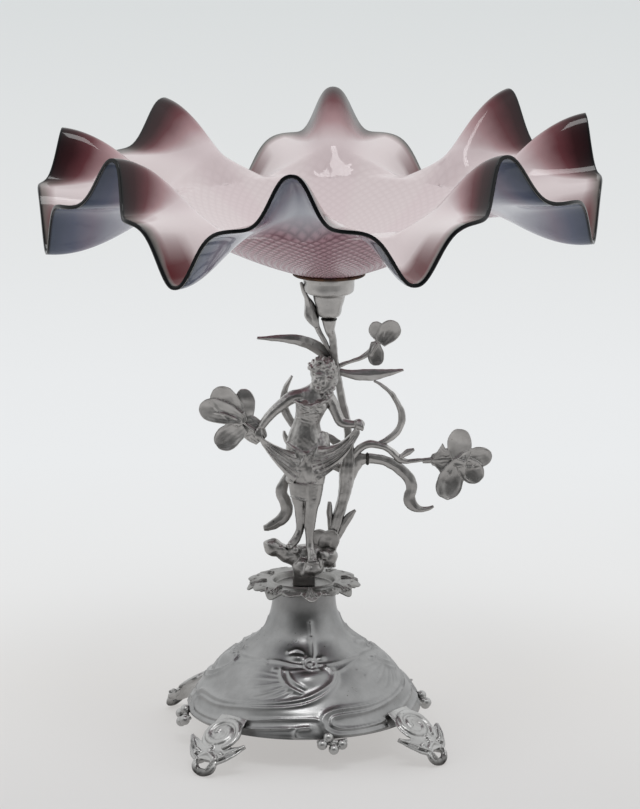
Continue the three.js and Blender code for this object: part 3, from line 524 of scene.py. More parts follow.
# Petal collar
# The cast dish that hides the joint of stand and base. Its well is sunk and its rim turns
# down into eight pointed leaves with a pair of curls between each two.
collar_base = bell_height + 0.3
collar_floor = 1.7
collar_rise = 3.4
collar_well = 17.6
collar_reach = 31.5


def petal_collar():
    """The collar as cast: a lobed dish, a curl to each side of a leaf, and three ribs on it."""
    floor = collar_base + collar_floor
    top = collar_base + collar_floor + collar_rise
    turns = np.linspace(0, 2 * math.pi, 321)[:-1]
    lobe = np.cos(16 * (turns - math.radians(base_turn)))
    broad = np.cos(8 * (turns - math.radians(base_turn)))
    reach = collar_reach - 1.4 + 1.6 * np.abs(broad)**0.6
    reach += 0.7 * lobe
    droop = 2.0 + 0.8 * lobe + 1.4 * broad
    leaf = (0.5 + 0.5 * broad)**2
    middle = (collar_well + reach) / 2
    section = [
        (stud_hole, collar_base), (collar_well - 1, collar_base), (collar_well + 1.2, top - 1.8),
        (middle, top - 1.6 - droop / 4), (reach - 0.8, top - 1.5 - droop),
        (reach, top - 1.0 - droop), (reach - 0.7, top - 0.2 - droop),
        ((middle + reach) / 2, top + 0.5 * leaf - droop * 0.45),
        (middle, top - 0.1 + 0.5 * leaf - droop / 4),
        (collar_well + 2.6, top - 0.7), (collar_well + 1.5, top - 0.1), (collar_well + 0.6, top),
        (collar_well - 0.4, top - 0.7), (collar_well - 1.6, floor), (stud_hole, floor),
    ]
    shapes = [ring_skin([upright_ring(bell_axis, turns, out, up) for out, up in section])]
    for k in range(8):
        for side in (-1, 1):
            middle_turn = math.radians(base_turn + 22.5 + 45 * k + side * 6.5)
            cosine, sine = math.cos(middle_turn), math.sin(middle_turn)
            curl = []
            for t in np.linspace(0, 1.4, 22):
                size = 2.3 - 1.1 * t
                x = side * size * math.sin(2 * math.pi * t)
                y = collar_reach - 3.4 + size * math.cos(2 * math.pi * t)
                z = top - 0.7 - 0.55 * max(0, y - collar_reach + 4)
                curl.append([bell_axis[0] + x * cosine + y * sine,
                             bell_axis[1] + x * sine - y * cosine, z, 1.25])
            shapes.append(limb(curl, face=(0, 0, 1), steps=1, sides=8))
        turn = math.radians(base_turn + 45 * k)
        for spread in (-0.09, 0, 0.09):
            rib = [[bell_axis[0] + r * math.sin(turn + spread * (r - 22) / 8),
                    bell_axis[1] - r * math.cos(turn + spread * (r - 22) / 8),
                    top + 0.2 - 0.34 * max(0, r - 24), 1.0 if spread else 1.5]
                   for r in (21, 24, 27, 30.5)]
            shapes.append(limb(rib, face=(0, 0, 1), sides=8))
    return fused(shapes, voxel=0.32, rounds=1, strength=0.35)


# The collar sits under the plant, and its plate is a darker grey than the rest
collar_silver = plated_metal(
    "collar_silver_plate", bright="#969593", dull="#7b7a78", dark="#2b2a29", roughness=0.33,
    grain_mm=0.6, wear=0.4)
make_piece("leaf_collar", *petal_collar(), collar_silver, ["petal_collar"])

# Rock mound
# The cast rock that figure and plant stand on. Its square tenon sits in the collar's well and
# is held from below by the stud. It is one casting, rough, with a lump out to the left.
stand_foot = 88.6
stand_shift = np.array([bell_axis[0], bell_axis[1], stand_foot])
tenon_half = 6.2
# Worn, oxidised plate: warm light greys over brown-black hollows, with painted shade below the waist
dull_silver = plated_metal(
    "dull_silver_plate", bright="#c4c2c0", dull="#a5a3a1", dark="#33302e", roughness=0.31,
    grain_mm=0.7, wear=0.5, painted_low_shade=0.24)


def on_stand(shapes):
    """Shapes drawn from the base's axis and the collar's floor, put in their place."""
    return [(points + stand_shift, faces) for points, faces in shapes]


def rock_mound():
    """The tenon and the lumps of rock above it, melted together and roughened."""
    corners_of_tenon = [(-1, -1), (1, -1), (1, 1), (-1, 1)]
    tenon = shell_of([np.array([[tenon_half * x, tenon_half * y, z] for x, y in corners_of_tenon])
                      for z in (0.0, 4.0, 8.0, 12.0)])
    lumps = [
        ball(0, -5.2, 11, 6, 5.6, 5.6), ball(6.5, -5, 11.6, 5, 5.4, 5.4),
        ball(13.2, -1, 15.5, 6, 6.2, 5.8), ball(2.5, 0.5, 15.5, 11, 7, 8),
        ball(-8.5, -3, 17.5, 9.5, 5.4, 5, 28), ball(-16.8, -3.6, 21.6, 5.8, 5.2, 5.2, 30),
        ball(-19.6, -4.6, 23.6, 3.4, 3.6, 3.4), ball(-12, -5.6, 21, 4, 3, 2.6, 30),
        ball(10.6, -5.4, 17.6, 3.4, 2.4, 3), ball(1.2, -9.4, 8.8, 3.4, 2, 3.4, 20),
        ball(4.4, -9.4, 11.4, 5.4, 4.4, 3.6), ball(4.9, -10.4, 14.5, 4, 3, 2.3),
        ball(-5.6, -6, 21.4, 3.4, 2.6, 2.2, 20), ball(-12.4, -3.6, 20, 6, 4.8, 4.4, 30),
    ]
    points, faces = fused(on_stand([tenon, *lumps]), voxel=0.5, rounds=6)
    rough = ruffled(ruffled(points, size=5.0, amount=0.8), size=1.6, amount=0.08)
    keep = np.clip((points[:, 2:] - stand_foot - 6) / 4, 0, 1)
    return points + (rough - points) * keep, faces


make_piece("cast_rock", *rock_mound(), dull_silver, ["rock_mound"])

# Main stem
# The cast trunk of the plant, from the rock up to a spigot in the cup. It swells where the
# branches leave it and is chased with long strokes like bark.
cup_axis = np.array([5.0, 0.0])
stem_height = 153.1
spigot_length = 6.5


def main_stem():
    """The trunk with its ribs, the fork of the lowest branch, and the spigot on its top."""
    x, y = cup_axis[0] - bell_axis[0], cup_axis[1] - bell_axis[1]
    trunk = [
        [x, y, stem_height - 0.4, 8.6], [x + 0.1, y + 0.2, stem_height - 3.5, 7.6],
        [x + 0.4, y + 0.5, stem_height - 7.5, 5.6], [16, 0, 140, 4.4], [17.2, 1, 127.5, 4.4],
        [19.6, 2.5, 113.5, 4.4], [21.4, 3, 103.5, 4.6], [23.6, 3, 94.5, 4.6],
        [25.1, 3, 82, 5], [24.8, 3, 73, 7.2], [24, 3, 65, 9], [23.4, 3, 56, 8],
        [21.5, 3, 46.5, 6.6], [18.5, 3, 36, 6.6], [16.6, 3, 28, 5.6], [15.7, 3, 18.5, 5.2],
        [15.2, 3, 9, 5.4],
    ]
    ribs = [limb([[p[0] + side * p[3] * 0.28, p[1] - p[3] * 0.36, p[2], p[3] * 0.3]
                  for p in trunk[2:]], sides=8) for side in (-1, 1)]
    spigot = limb([[x, y, stem_height - 2, 5.2], [x, y, stem_height + spigot_length - 0.5, 5.2]])
    fork = limb([[23.8, 3, 58, 8], [26.4, 3, 65.4, 8.6, 7], [29.8, 2.6, 70.4, 8.8, 5],
                 [34.4, 1.4, 71.8, 6, 2.4]])
    points, faces = fused(on_stand([limb(trunk), spigot, fork, *ribs]), voxel=0.4, rounds=3)
    return ruffled(points, size=3.0, amount=0.22), faces


make_piece("plant_stem", *main_stem(), dull_silver, ["main_stem"])

# Leaves, bud and branch
# Each is cast by itself, flat with a raised rib, bent to its curve by hand and soldered to
# the stem. The points are those of its solid.
leaf_depth = 1.7
leaf_lines = {
    "bud_spray": [
        [15.5, 1, 131.5, 2], [14, 0, 134.5, 2.2], [11.5, 0, 139, 3], [8.5, 0, 144.5, 3.2],
        [7, 0, 148, 3.6], [5.4, 0, 151, 6.6, 5], [4.4, -0.2, 154.6, 8.6, 6],
        [3.4, -0.8, 159, 6.6, 5], [2, -1.8, 163.4, 3.4], [0.4, -3, 167, 2.6],
        [-1.6, -4, 173, 2]],
    "upper_left_leaf": [
        [18.2, 2, 124, 3.6], [14.5, 3, 129, 5.5], [10.5, 3.4, 132.5, 7.2],
        [4.5, 2.4, 136.5, 7], [-3, 0, 139.5, 6.2], [-11, 0, 140.5, 4.6],
        [-19, 0, 140.6, 2.8], [-26, 0, 141, 1.6]],
    "upper_right_leaf": [
        [18.5, 2, 121.5, 3.6], [26, 1, 120, 5.2], [31, 1, 119.6, 6.6], [37.5, 1, 119.6, 6.8],
        [44.5, 1, 120.5, 5], [51, 1, 121.6, 2.8], [55.5, 1, 122.5, 1.4]],
    "right_branch": [
        [24, 3, 66, 5], [26, 2.5, 70.5, 4.6], [29, 2, 75, 4.4], [32.5, 2, 78.5, 4.4],
        [36.5, 2, 80, 4.4], [40, 2, 79.7, 4.4], [44.5, 2, 78.5, 4.2], [48.5, 2, 76, 4],
        [53, 2, 71.7, 4.2], [57, 2, 70, 3.2], [62, 2, 70.5, 2.4], [72.5, 1, 71.5, 2]],
    "curled_tendril_leaf": [
        [42, 2, 80, 3.6], [45.5, 2, 81.7, 3.8], [50, 2, 85, 4.2], [53.5, 2, 89.7, 4.4],
        [54.6, 2, 96, 4.3], [52.5, 2, 102.3, 3.4], [48.5, 2, 109, 2.8], [42.5, 2, 114, 2],
        [39, 2, 116.2, 1.6]],
    "lower_right_leaf": [
        [27, 2, 70.5, 5], [34, 1, 71.8, 6], [41, 1, 71.6, 5.8], [48.5, 1, 69, 6.2],
        [55, 1, 64.4, 6.6], [59.3, 1, 59, 6.8], [60, 1, 54, 6.2], [58.8, 1, 50, 6.8],
        [60, 1, 45.6, 7], [64.5, 1, 42.8, 4.4], [69, 1, 43, 2.8], [72.5, 1, 44.6, 1.4]],
    "left_upper_leaf": [
        [24, 4, 76, 4.4], [13.5, 6, 83, 4.6], [4, 5.5, 86, 4.6], [-4, 4.5, 89, 4.8],
        [-7.5, 4, 93, 4.8], [-10.3, 4, 98.5, 5], [-11.2, 4, 104, 4.4], [-10.8, 4, 109, 3.8],
        [-9, 4, 114, 2.8], [-6.5, 4, 118.6, 1.4]],
    "left_lower_leaf": [
        [23, 4, 64, 4.6], [13, 6.5, 67.5, 5], [3, 7, 67.5, 5], [-5.5, 5.5, 64, 5],
        [-10, 4.5, 59.5, 5], [-12, 4, 54.5, 6.6], [-12.3, 4, 50.5, 7], [-10.2, 4, 46, 7],
        [-9.6, 4, 41, 7], [-11.7, 4, 37, 7], [-16, 4, 33.6, 6], [-20, 4, 31.6, 4.6],
        [-22.6, 4, 31, 3.4]],
}


def leaf_shapes(points, rib=0.22):
    """A blade with a raised rib along its front."""
    blade = limb(points, sides=18, depth=leaf_depth, trough=0.16)
    ridge = limb([[p[0], p[1] - leaf_depth * 0.42, p[2], max(0.5, p[3] * rib)] for p in points],
                 sides=8, depth=1.0)
    return [blade, ridge]


def cast_leaf(name, shapes):
    """A leaf as cast: its shapes melted together, a little uneven from bending by hand."""
    points, faces = fused(on_stand(shapes), voxel=0.34, rounds=2, strength=0.45)
    uneven = ruffled(points, size=4.0, amount=0.3)
    make_piece(f"cast_{name}", uneven, faces, dull_silver, [name])


# What is cast on: the branch's small leaf, two sepals and a seam on the bud, the hip's leaf
side_shapes = {
    "right_branch": leaf_shapes([
        [52.5, 2, 72.5, 2], [54.5, 1, 73.5, 2.6], [58, 1, 75.6, 3.8], [61.5, 1, 77.2, 1.8]]),
    "bud_spray": [
        limb([[7.4, -1.6, 147.4, 1.6], [6.6, -2.8, 151, 3.4], [5.6, -3, 154.6, 2.6],
              [4.4, -2.6, 158.6, 1]], depth=1.2),
        limb([[6.6, -1.6, 147.6, 1.6], [3.2, -2.4, 151.6, 3], [1.6, -2.4, 155.6, 2],
              [1.6, -2.4, 159, 1]], depth=1.2),
        limb([[3.4, -2.6, 158, 1], [2.4, -3.4, 163, 1.4], [0.4, -4, 168, 1]], sides=8)],
    "left_upper_leaf": leaf_shapes([
        [3, 5.6, 85, 4], [-3, 5, 82, 4.2], [-8, 4, 80.5, 4.4], [-10.2, 4, 83.5, 3.2],
        [-11.2, 4, 87, 1.4]]),
}
for leaf_name, leaf_points in leaf_lines.items():
    is_stalk = leaf_name in ("bud_spray", "right_branch")
    leaf_parts = [limb(leaf_points)] if is_stalk else leaf_shapes(leaf_points)
    cast_leaf(leaf_name, leaf_parts + side_shapes.get(leaf_name, []))

cast_leaf("stem_sprouts", [
    *leaf_shapes([[15.6, 2.6, 24, 4], [15, 1.8, 33, 3.6], [14.4, 1.6, 40.5, 3.6],
                  [14.2, 1.8, 47, 2]]),
    *leaf_shapes([[17, 2.6, 24, 5], [20.5, 1.8, 31, 5.4], [25, 1.6, 38, 4.4],
                  [29, 1.8, 42.2, 1.6]]),
    limb([[15, 2.4, 22, 5], [17.5, 1.8, 27, 6]], depth=4),
])

# Old solder
# Rings of dark, oxidised solder, left rough: one where the lowest leaf joins the stem and one
# under the cup.


def solder_ring(centre, across, up, thick):
    """A ring: flat round the stem when up is zero, and upright round the leaf otherwise."""
    line = []
    for turn in np.linspace(0, 2 * math.pi, 25):
        flat = [across * math.sin(turn), across * math.cos(turn), 0]
        upright = [0, across * math.sin(turn), up * math.cos(turn)]
        line.append([c + s for c, s in zip(centre, upright if up else flat)] + [thick])
    return limb(line, sides=8, steps=1, face=(1, 0, 0) if up else (0, 0, 1))


def dark_solder():
    """Oxidised solder: a crusty brown black, with a dull metal gleam on its grains."""
    material, shader = new_material("dark_solder")
    place = add(material, "ShaderNodeTexCoord").outputs["Object"]
    grains = add(material, "ShaderNodeTexNoise", {"Vector": place, "Scale": 1000 / 0.9})
    crust = add(material, "ShaderNodeValToRGB", {"Fac": grains.outputs["Fac"]},
                [(0.35, "#1a1918"), (0.7, "#55524e")])
    bump = add(material, "ShaderNodeBump", {
        "Height": grains.outputs["Fac"], "Strength": 0.6, "Distance": 0.0004})
    fill(material, shader, {
        "Base Color": crust.outputs["Color"], "Normal": bump.outputs["Normal"],
        "Metallic": 0.6, "Roughness": 0.6})
    return material


old_solder = dark_solder()
leaf_ring = solder_ring([35.4, 1.2, 71.7], across=1.7, up=2.8, thick=1.7)
cup_ring = solder_ring([cup_axis[0] - bell_axis[0], cup_axis[1] - bell_axis[1], stem_height - 1.2],
                       across=3.9, up=0, thick=1.2)
for solder_name, solder_shape in (("leaf_solder", leaf_ring), ("cup_solder", cup_ring)):
    solder_points, solder_faces = fused(on_stand([solder_shape]), voxel=0.2, rounds=1)
    rough_points = ruffled(solder_points, size=0.9, amount=0.2)
    make_piece(solder_name, rough_points, solder_faces, old_solder)

# Flowers and root leaves
# Cast flowers of three or four broad petals with chased veins round a fan-shaped calyx, each
# petal cupped by hand.


def petal(base, tip, width, widest=0.6, claw=0.3, cup=0.03, thickness=1.5, veins=5,
          vein_height=0.1, notches=0, rolled=0.5):
    """A broad round petal from its base to its tip, veined and cupped towards the front.

    It is widest at that share of its length, and its base has the claw's share of that width.
    """
    base, tip = np.array(base, float), np.array(tip, float)
    length = np.linalg.norm(tip - base)
    along = (tip - base) / length
    front = np.array([0.0, -1.0, 0.0])
    front -= along * along.dot(front)
    front /= np.linalg.norm(front)
    across = np.cross(along, front)
    steps = 26
    share = np.sin(np.linspace(0, math.pi / 2, steps)) * 0.98 + 0.01
    v = np.sin(np.linspace(-math.pi / 2, math.pi / 2, 31))
    sheets = []
    for level in (1, -1):
        for u in (share if level > 0 else share[::-1]):
            if u < widest:
                half = claw + (1 - claw) * math.sin(math.pi / 2 * u / widest)
            else:
                half = math.sqrt(max(0.004, 1 - ((u - widest) / (1 - widest))**2))
            half *= width / 2 * (1 + 0.07 * notches * math.cos(2 * math.pi * notches * u))
            x = v * half
            y = u * length * (1 + 0.03 * notches * np.cos(math.pi * notches * v))
            z = cup * (x**2 + 0.7 * (y - length * 0.45)**2)
            z = z + rolled * np.exp(-((1 - np.abs(v)) / 0.2)**2) * min(1, 4 * u)
            if level > 0:
                z = z + vein_height * np.cos(veins * math.pi * v / 2)**6 * (1 - u**2)
            lift = z + level * thickness / 2 * np.sqrt(np.clip(1 - v**6, 0.02, 1))
            sheets.append(base + x[:, None] * across + y[:, None] * along + lift[:, None] * front)
    rings = [np.concatenate([sheets[k], sheets[-1 - k][::-1]]) for k in range(steps)]
    return shell_of(rings)


def cast_flower(name, shapes):
    """A flower as cast: its shapes melted together, a little uneven from bending by hand."""
    points, faces = fused(on_stand(shapes), voxel=0.32, rounds=2, strength=0.4)
    uneven = ruffled(points, size=5.0, amount=0.45)
    make_piece(f"cast_{name}", uneven, faces, dull_silver, [name])


cast_flower("upper_right_flower", [
    limb([[18, 2, 124, 2.6], [26, 2, 127, 2.4], [32, 2, 129.2, 2.8], [37, 2, 133, 3.6],
          [41, 2, 138, 3.4], [42.6, 2, 140, 3]]),
    petal([42.4, 1.5, 138.6], [38.8, 0.5, 150], 9, 0.62, 0.4),
    petal([42.4, 1.5, 137.4], [51.4, 0.5, 150.4], 12, 0.6, 0.4),
    petal([39.4, 2, 138.4], [40.4, 1.4, 124.8], 9.2, 0.68, 0.45),
    limb([[37, 0.8, 131, 1.6], [38.4, 0.6, 134, 1.8], [40.6, 0.4, 137.4, 1.4]], sides=8),
])
cast_flower("right_flower", [
    limb([[66, 1, 70.6, 3.2], [72, 1, 71, 4], [80, 1, 71, 3.4]], depth=2.6),
    petal([86, 0.5, 71.5], [71.6, 0.5, 71.4], 17, 0.56, 0.3, cup=0.012, thickness=1.7, veins=11,
          vein_height=0.55, notches=3),
    petal([87, 0.3, 68], [86.4, -0.4, 90.2], 13.6, 0.6, 0.42),
    petal([84.5, 0.3, 69.4], [104.6, -0.4, 75.6], 12, 0.62, 0.5),
    petal([86.4, 0.3, 71.6], [99, -0.4, 60.2], 13.4, 0.62, 0.45),
    petal([87, 0.3, 72], [77.4, -0.4, 50], 15, 0.64, 0.4),
    *[ball(94 + 2.2 * k, -1.2, 68.6 - 0.9 * (-1)**k, 1, 0.8, 0.9) for k in range(3)],
    limb([[86, -0.6, 71, 1.2], [92, -1, 70.4, 1], [97, -1, 69.6, 0.9]], sides=8),
])
cast_flower("left_flower", [
    petal([-23.4, -5.6, 83.6], [-34, -6, 97], 13.6, 0.5, 0.6, cup=-0.02, thickness=3.0, veins=7,
          vein_height=0.5),
    petal([-24, -6.2, 92], [-37, -6.8, 88.6], 9, 0.5, 0.7, cup=-0.02, thickness=2.2),
    petal([-34, -6, 93.6], [-49, -6.5, 114.8], 14.4, 0.66, 0.5, cup=0.024),
    petal([-34, -6.6, 96.6], [-57.8, -7, 104.4], 13.6, 0.66, 0.5, cup=0.024),
    petal([-31.6, -6, 96], [-33.6, -6.5, 113.2], 11.4, 0.56, 0.6, cup=-0.02),
    petal([-33.4, -6.4, 92.8], [-48.4, -6.5, 81.4], 14, 0.62, 0.6),
    limb([[-27, -7.6, 89.6, 2.2], [-35, -8.4, 95.6, 1.3], [-44, -8.2, 99.4, 1.1],
          [-51, -7.6, 100.6, 1]], sides=8),
])
cast_flower("root_leaves", [
    petal([12.4, 1, 15], [7.6, 0.5, 32], 10.6, 0.62, 0.55, vein_height=0, rolled=0),
    petal([10.4, 1, 15], [16.8, 0.5, 31.4], 11, 0.62, 0.55, vein_height=0, rolled=0),
])

# Maiden
# The cast figure steps forward on one foot and holds her skirt out in both hands. She is one
# casting with her drapery, chased in the hair, the folds and the hands.


def maiden():
    """The whole figure as cast, with the fine creases of thin cloth over bodice and lap."""
    torso = [
        [1.6, -5, 74, 23, 15], [1.4, -5, 79, 23, 15], [1.3, -5, 84, 21.6, 14.4],
        [1.2, -5, 88, 18.8, 13], [1.6, -5, 92.5, 15.6, 11], [2.2, -5.1, 96, 14.4, 10.4],
        [3.2, -5.3, 100, 15.8, 11.4], [4.3, -5.2, 104.6, 18.2, 11.6],
        [5, -4.9, 109, 19.6, 9.6], [6, -4.8, 112, 11.6, 8],
        [7.2, -4.9, 114.6, 7.6, 7.2], [8.6, -5.1, 118, 7.4, 6.8],
    ]
    head = ball(9.6, -5.8, 119.6, 5.4, 5.8, 7.2, 12)
    bust = [ball(0.6, -9.4, 103.6, 4.2, 3.2, 4.1), ball(8.8, -9.4, 103.9, 4.2, 3.2, 4.1)]
    right_arm = [
        [-1.6, -5.2, 109.4, 7.8], [-6.6, -5.8, 108.4, 7.4], [-12, -6.6, 104.6, 6.6],
        [-16.8, -7.4, 100.6, 5.8], [-20.6, -7.8, 96.4, 5.2], [-23.6, -8, 92, 4.4],
    ]
    left_arm = [
        [11.4, -5.2, 110, 8], [15, -5.6, 106.4, 7.2], [18, -6.4, 100, 6.2],
        [20.6, -7.4, 95, 5.8], [25, -8.2, 93.8, 5], [29.4, -8.6, 93.8, 4.2],
    ]
    shapes = [limb(torso, sides=26), head, *bust, limb(right_arm), limb(left_arm)]
    shapes += hands() + head_and_hair() + drapery() + legs()
    points, faces = fused(on_stand(shapes), voxel=0.36, rounds=2, strength=0.4)
    points = ruffled(points, size=1.6, amount=0.1)
    points = crumpled(points, low=95, high=107, half=9.4, size=(5, 1.5), depth=1.1)
    return crumpled(points, low=61, high=87, half=10, size=(3.4, 9), depth=0.9), faces


def crumpled(points, low, high, half, size, depth):
    """Thin cloth between two heights: fine creases with their size across and up, in mm."""
    x, y, z = (points - stand_shift).T
    cover = np.clip((z - low) / 2, 0, 1) * np.clip((high - z) / 3, 0, 1)
    cover *= np.clip((half - np.abs(x - 3.6)) / 2, 0, 1) * np.clip((-y - 6) / 2, 0, 1)
    across, up = size
    stretched = np.stack([(x + 0.2 * z) / across, y / 6, (z + 0.3 * x) / up], 1)
    crease = np.array([noise.noise(Vector(p)) for p in stretched])
    moved = points.copy()
    moved[:, 1] -= depth * cover * (np.abs(crease) - 0.2)
    return moved


def hands():
    """Two closed hands, each a palm with four fingers over the gathered cloth."""
    shapes = [ball(-24.8, -8.4, 89.4, 2.5, 2, 3.2, 10), ball(30.6, -8.6, 94, 3.3, 2.4, 2.9, 20)]
    for k in range(4):
        shapes.append(limb([[-26.2 + 0.9 * k, -9.6, 90.2 - 0.3 * k, 1.5],
                            [-26.6 + 1.1 * k, -10.3, 87.6 - 0.3 * k, 1.4],
                            [-25.8 + 1.1 * k, -9.6, 85.4 - 0.2 * k, 1.2]], sides=8))
        shapes.append(limb([[29 + 1.1 * k, -10, 96.2 - 0.5 * k, 1.5],
                            [29.4 + 1.1 * k, -11.2, 94 - 0.5 * k, 1.5],
                            [29.2 + 1 * k, -10.4, 91.8 - 0.4 * k, 1.3]], sides=8))
    return shapes


def head_and_hair():
    """A calm, plain face under dressed hair with small flowers, and a braid over the breast."""
    # Nose and mouth, chin and cheeks, brow and eyelids, all turned 12 degrees with the head
    face = [
        ball(8.9, -10.9, 118.9, 0.9, 1.2, 1.5, 12), ball(8.4, -10.5, 116.3, 1.5, 0.8, 0.6, 12),
        ball(8.1, -9.8, 114.2, 2, 1.7, 1.3, 12),
        ball(6.6, -9.6, 117.6, 2.2, 1.6, 2.4, 12), ball(10.9, -10.2, 117, 1.8, 1.3, 2, 12),
        ball(9.3, -10, 122, 3.8, 1.4, 1.3, 12),
        ball(7.1, -10.6, 120.1, 1, 0.6, 0.5, 12), ball(11, -10.7, 119.7, 1, 0.6, 0.5, 12),
    ]
    # The mass of the hair, its knot, two tresses at the neck, a tuft on top, and the front roll
    hair = [ball(10.8, -3.4, 122.4, 7.4, 6.6, 8, 12), ball(16, -4.4, 118.6, 3.2, 3.8, 5),
            ball(12.6, -4.8, 113.6, 2.8, 2.8, 3.6), ball(10.4, -7.2, 112.6, 2.6, 2.6, 2.6),
            ball(7.4, -7.2, 126.4, 3.2, 2.8, 3.2)]
    hair.append(limb([[9.8 + 5.4 * math.sin(t), -7.6, 120 + 6.8 * math.cos(t), 4.2]
                      for t in np.linspace(-0.9, 2.9, 20)], steps=1))
    # Locks spread evenly over the head, as seeds are in a flower, and none before the face
    lock_count = 120
    seed_turn = math.pi * (3 - math.sqrt(5))
    for k in range(lock_count):
        rise = 1 - 1.5 * (k + 0.5) / lock_count
        turn = seed_turn * k
        out = math.sqrt(1 - rise**2)
        x, y, z = out * math.sin(turn), -out * math.cos(turn), rise
        if (abs(x) < 0.62 and y < -0.2 and z < 0.52) or (x < -0.4 and z < 0.3):
            continue
        size = 1.5 + 0.5 * math.sin(5.3 * k)
        hair.append(ball(10.6 + 7.6 * x, -4.4 + 6.4 * y, 122.2 + 8.2 * z, 1.3 * size, size,
                         0.7 * size, 90 * math.sin(2 * k), 8))
    # Small curls and flowers along the roll, then the braid down to the breast
    for k in range(8):
        turn = math.radians(-46 + 19 * k)
        out = 5.6 + 0.9 * (-1)**k
        hair.append(curl(10 + out * math.sin(turn), -9.4, 120.8 + (out + 1) * math.cos(turn),
                         1.7 + 0.5 * (k % 3), 1.7 * k))
    for k in range(8):
        hair.append(ball(16.2 - 0.45 * k + 0.7 * (-1)**k, -7.4 - 0.4 * k, 116.6 - 1.3 * k,
                         1.7, 1.5, 1.3))
    hair += [ball(4.2, -7.2, 125.8, 2.2, 2, 2), ball(5.2, -8.4, 123.2, 1.5, 1.5, 1.4),
             ball(5.4, -6.4, 114.4, 1.7, 2.2, 2)]
    return face + hair


def curl(x, y, z, size, turn):
    """A small flat curl of hair, or one of the flowers in it."""
    line = [[x + size * (1 - 0.3 * t) * math.sin(3.2 * t + turn), y - 0.5 * t,
             z + size * (1 - 0.3 * t) * math.cos(3.2 * t + turn), 1.6]
            for t in np.linspace(0, 1.6, 9)]
    return limb(line, steps=2, sides=7)


def cloth(hand, targets, front, folds, sag, seed):
    """A gathered cloth, held at a point, that falls in fine folds towards a line of targets."""
    steps_across, steps_out = 80, 40
    ends = spline(targets, steps_across)
    share = np.linspace(0, 1, steps_across)
    sheets = []
    for level in (1, -1):
        for r in (np.linspace(0, 1, steps_out) if level > 0 else np.linspace(1, 0, steps_out)):
            start = np.array(hand) + np.outer(share - 0.5, np.array([1.4, 0, -4.6]))
            line = start + (ends - start) * r
            line[:, 2] -= sag * np.sin(math.pi * r**0.85) ** 1.1
            line[:, 1] = hand[1] + (front - hand[1]) * math.sin(math.pi / 2 * r) ** 0.8
            phase = 2 * math.pi * folds * share + 1.5 * np.sin(2.4 * share + 3.4 * r + seed)
            deep = 0.65 * np.sin(phase) + 0.35 * np.sin(2.3 * phase + 5 * r + seed)
            deep += 0.3 * np.sin(9 * r + 5 * share + seed)
            fade = np.clip(r * 5, 0, 1) * (1 - 0.5 * r**3)
            line[:, 1] -= deep * fade + level * 1.3
            sheets.append(line)
    rings = [np.concatenate([sheets[k], sheets[-1 - k][::-1]]) for k in range(steps_out)]
    return shell_of(rings)


def drapery():
    """The bodice, and the skirt held out to both sides in folds that fall to the knees."""
    # The skirt's two sides and its middle, a tuck at the knee, and the cloth under each hand
    shapes = [
        limb([[-0.2, -3.6, 88, 12, 9], [-1.4, -6, 80, 14, 13], [-2, -7, 70, 13.4, 13.8],
              [-2.2, -6.6, 60.4, 11.8, 12]], sides=24),
        limb([[8, -3.6, 88, 11, 9], [8, -6, 80, 13.4, 13], [6.8, -7, 70, 12.8, 13.8],
              [5.8, -6.8, 60.4, 11.2, 12]], sides=24),
        limb([[3.4, -5, 84, 14, 12], [2.8, -6.6, 76, 14, 13.2], [2, -7, 68, 13, 13.6],
              [1.8, -6.8, 60.4, 12, 12]], sides=24),
        ball(-7, -7.4, 62.4, 3.2, 3.8, 2.8),
        cloth([-24.6, -8.2, 85.6], [[-5, 0, 78.6], [-2.4, 0, 74], [-1.4, 0, 70],
                                    [-2.4, 0, 65.6], [-6, 0, 61.4]],
              front=-12.8, folds=5, sag=1, seed=0.4),
        cloth([30.6, -8.8, 91.4], [[8, 0, 81.6], [5.4, 0, 76.4], [4.4, 0, 72], [5, 0, 67.6],
                                   [7.4, 0, 62.4]],
              front=-12.8, folds=5, sag=4, seed=2.1),
    ]
    creases = [
        [(-5.6, -8, 107), (-0.4, -11.6, 105.4), (4.6, -11.4, 104.6), (9, -12.2, 106.6),
         (14, -8.8, 108.4)],
        [(-9.4, -7.4, 83), (-5, -11.4, 80.4), (0, -12.6, 78.2), (5, -12.6, 77.4)],
        [(9.6, -8.6, 84), (5, -12, 80), (0, -13.2, 74.6), (-4.6, -13, 69), (-7.4, -11, 65)],
    ]
    shapes += [limb([[*p, 2.1] for p in crease], sides=10, steps=6) for crease in creases]
    hems = [
        [(-8.8, -7.6, 60.8), (-6, -12.4, 61), (0.6, -13, 60.2), (6.4, -12.8, 61.2), (11, -8, 62.2)],
        [(-7.4, -6.4, 52.2), (-4, -8.8, 51.4), (0.6, -9.6, 50.6), (6, -11.4, 51), (9.4, -8, 52)],
    ]
    shapes += [limb([[*p, 1.2] for p in hem], sides=8, steps=6) for hem in hems]
    return shapes


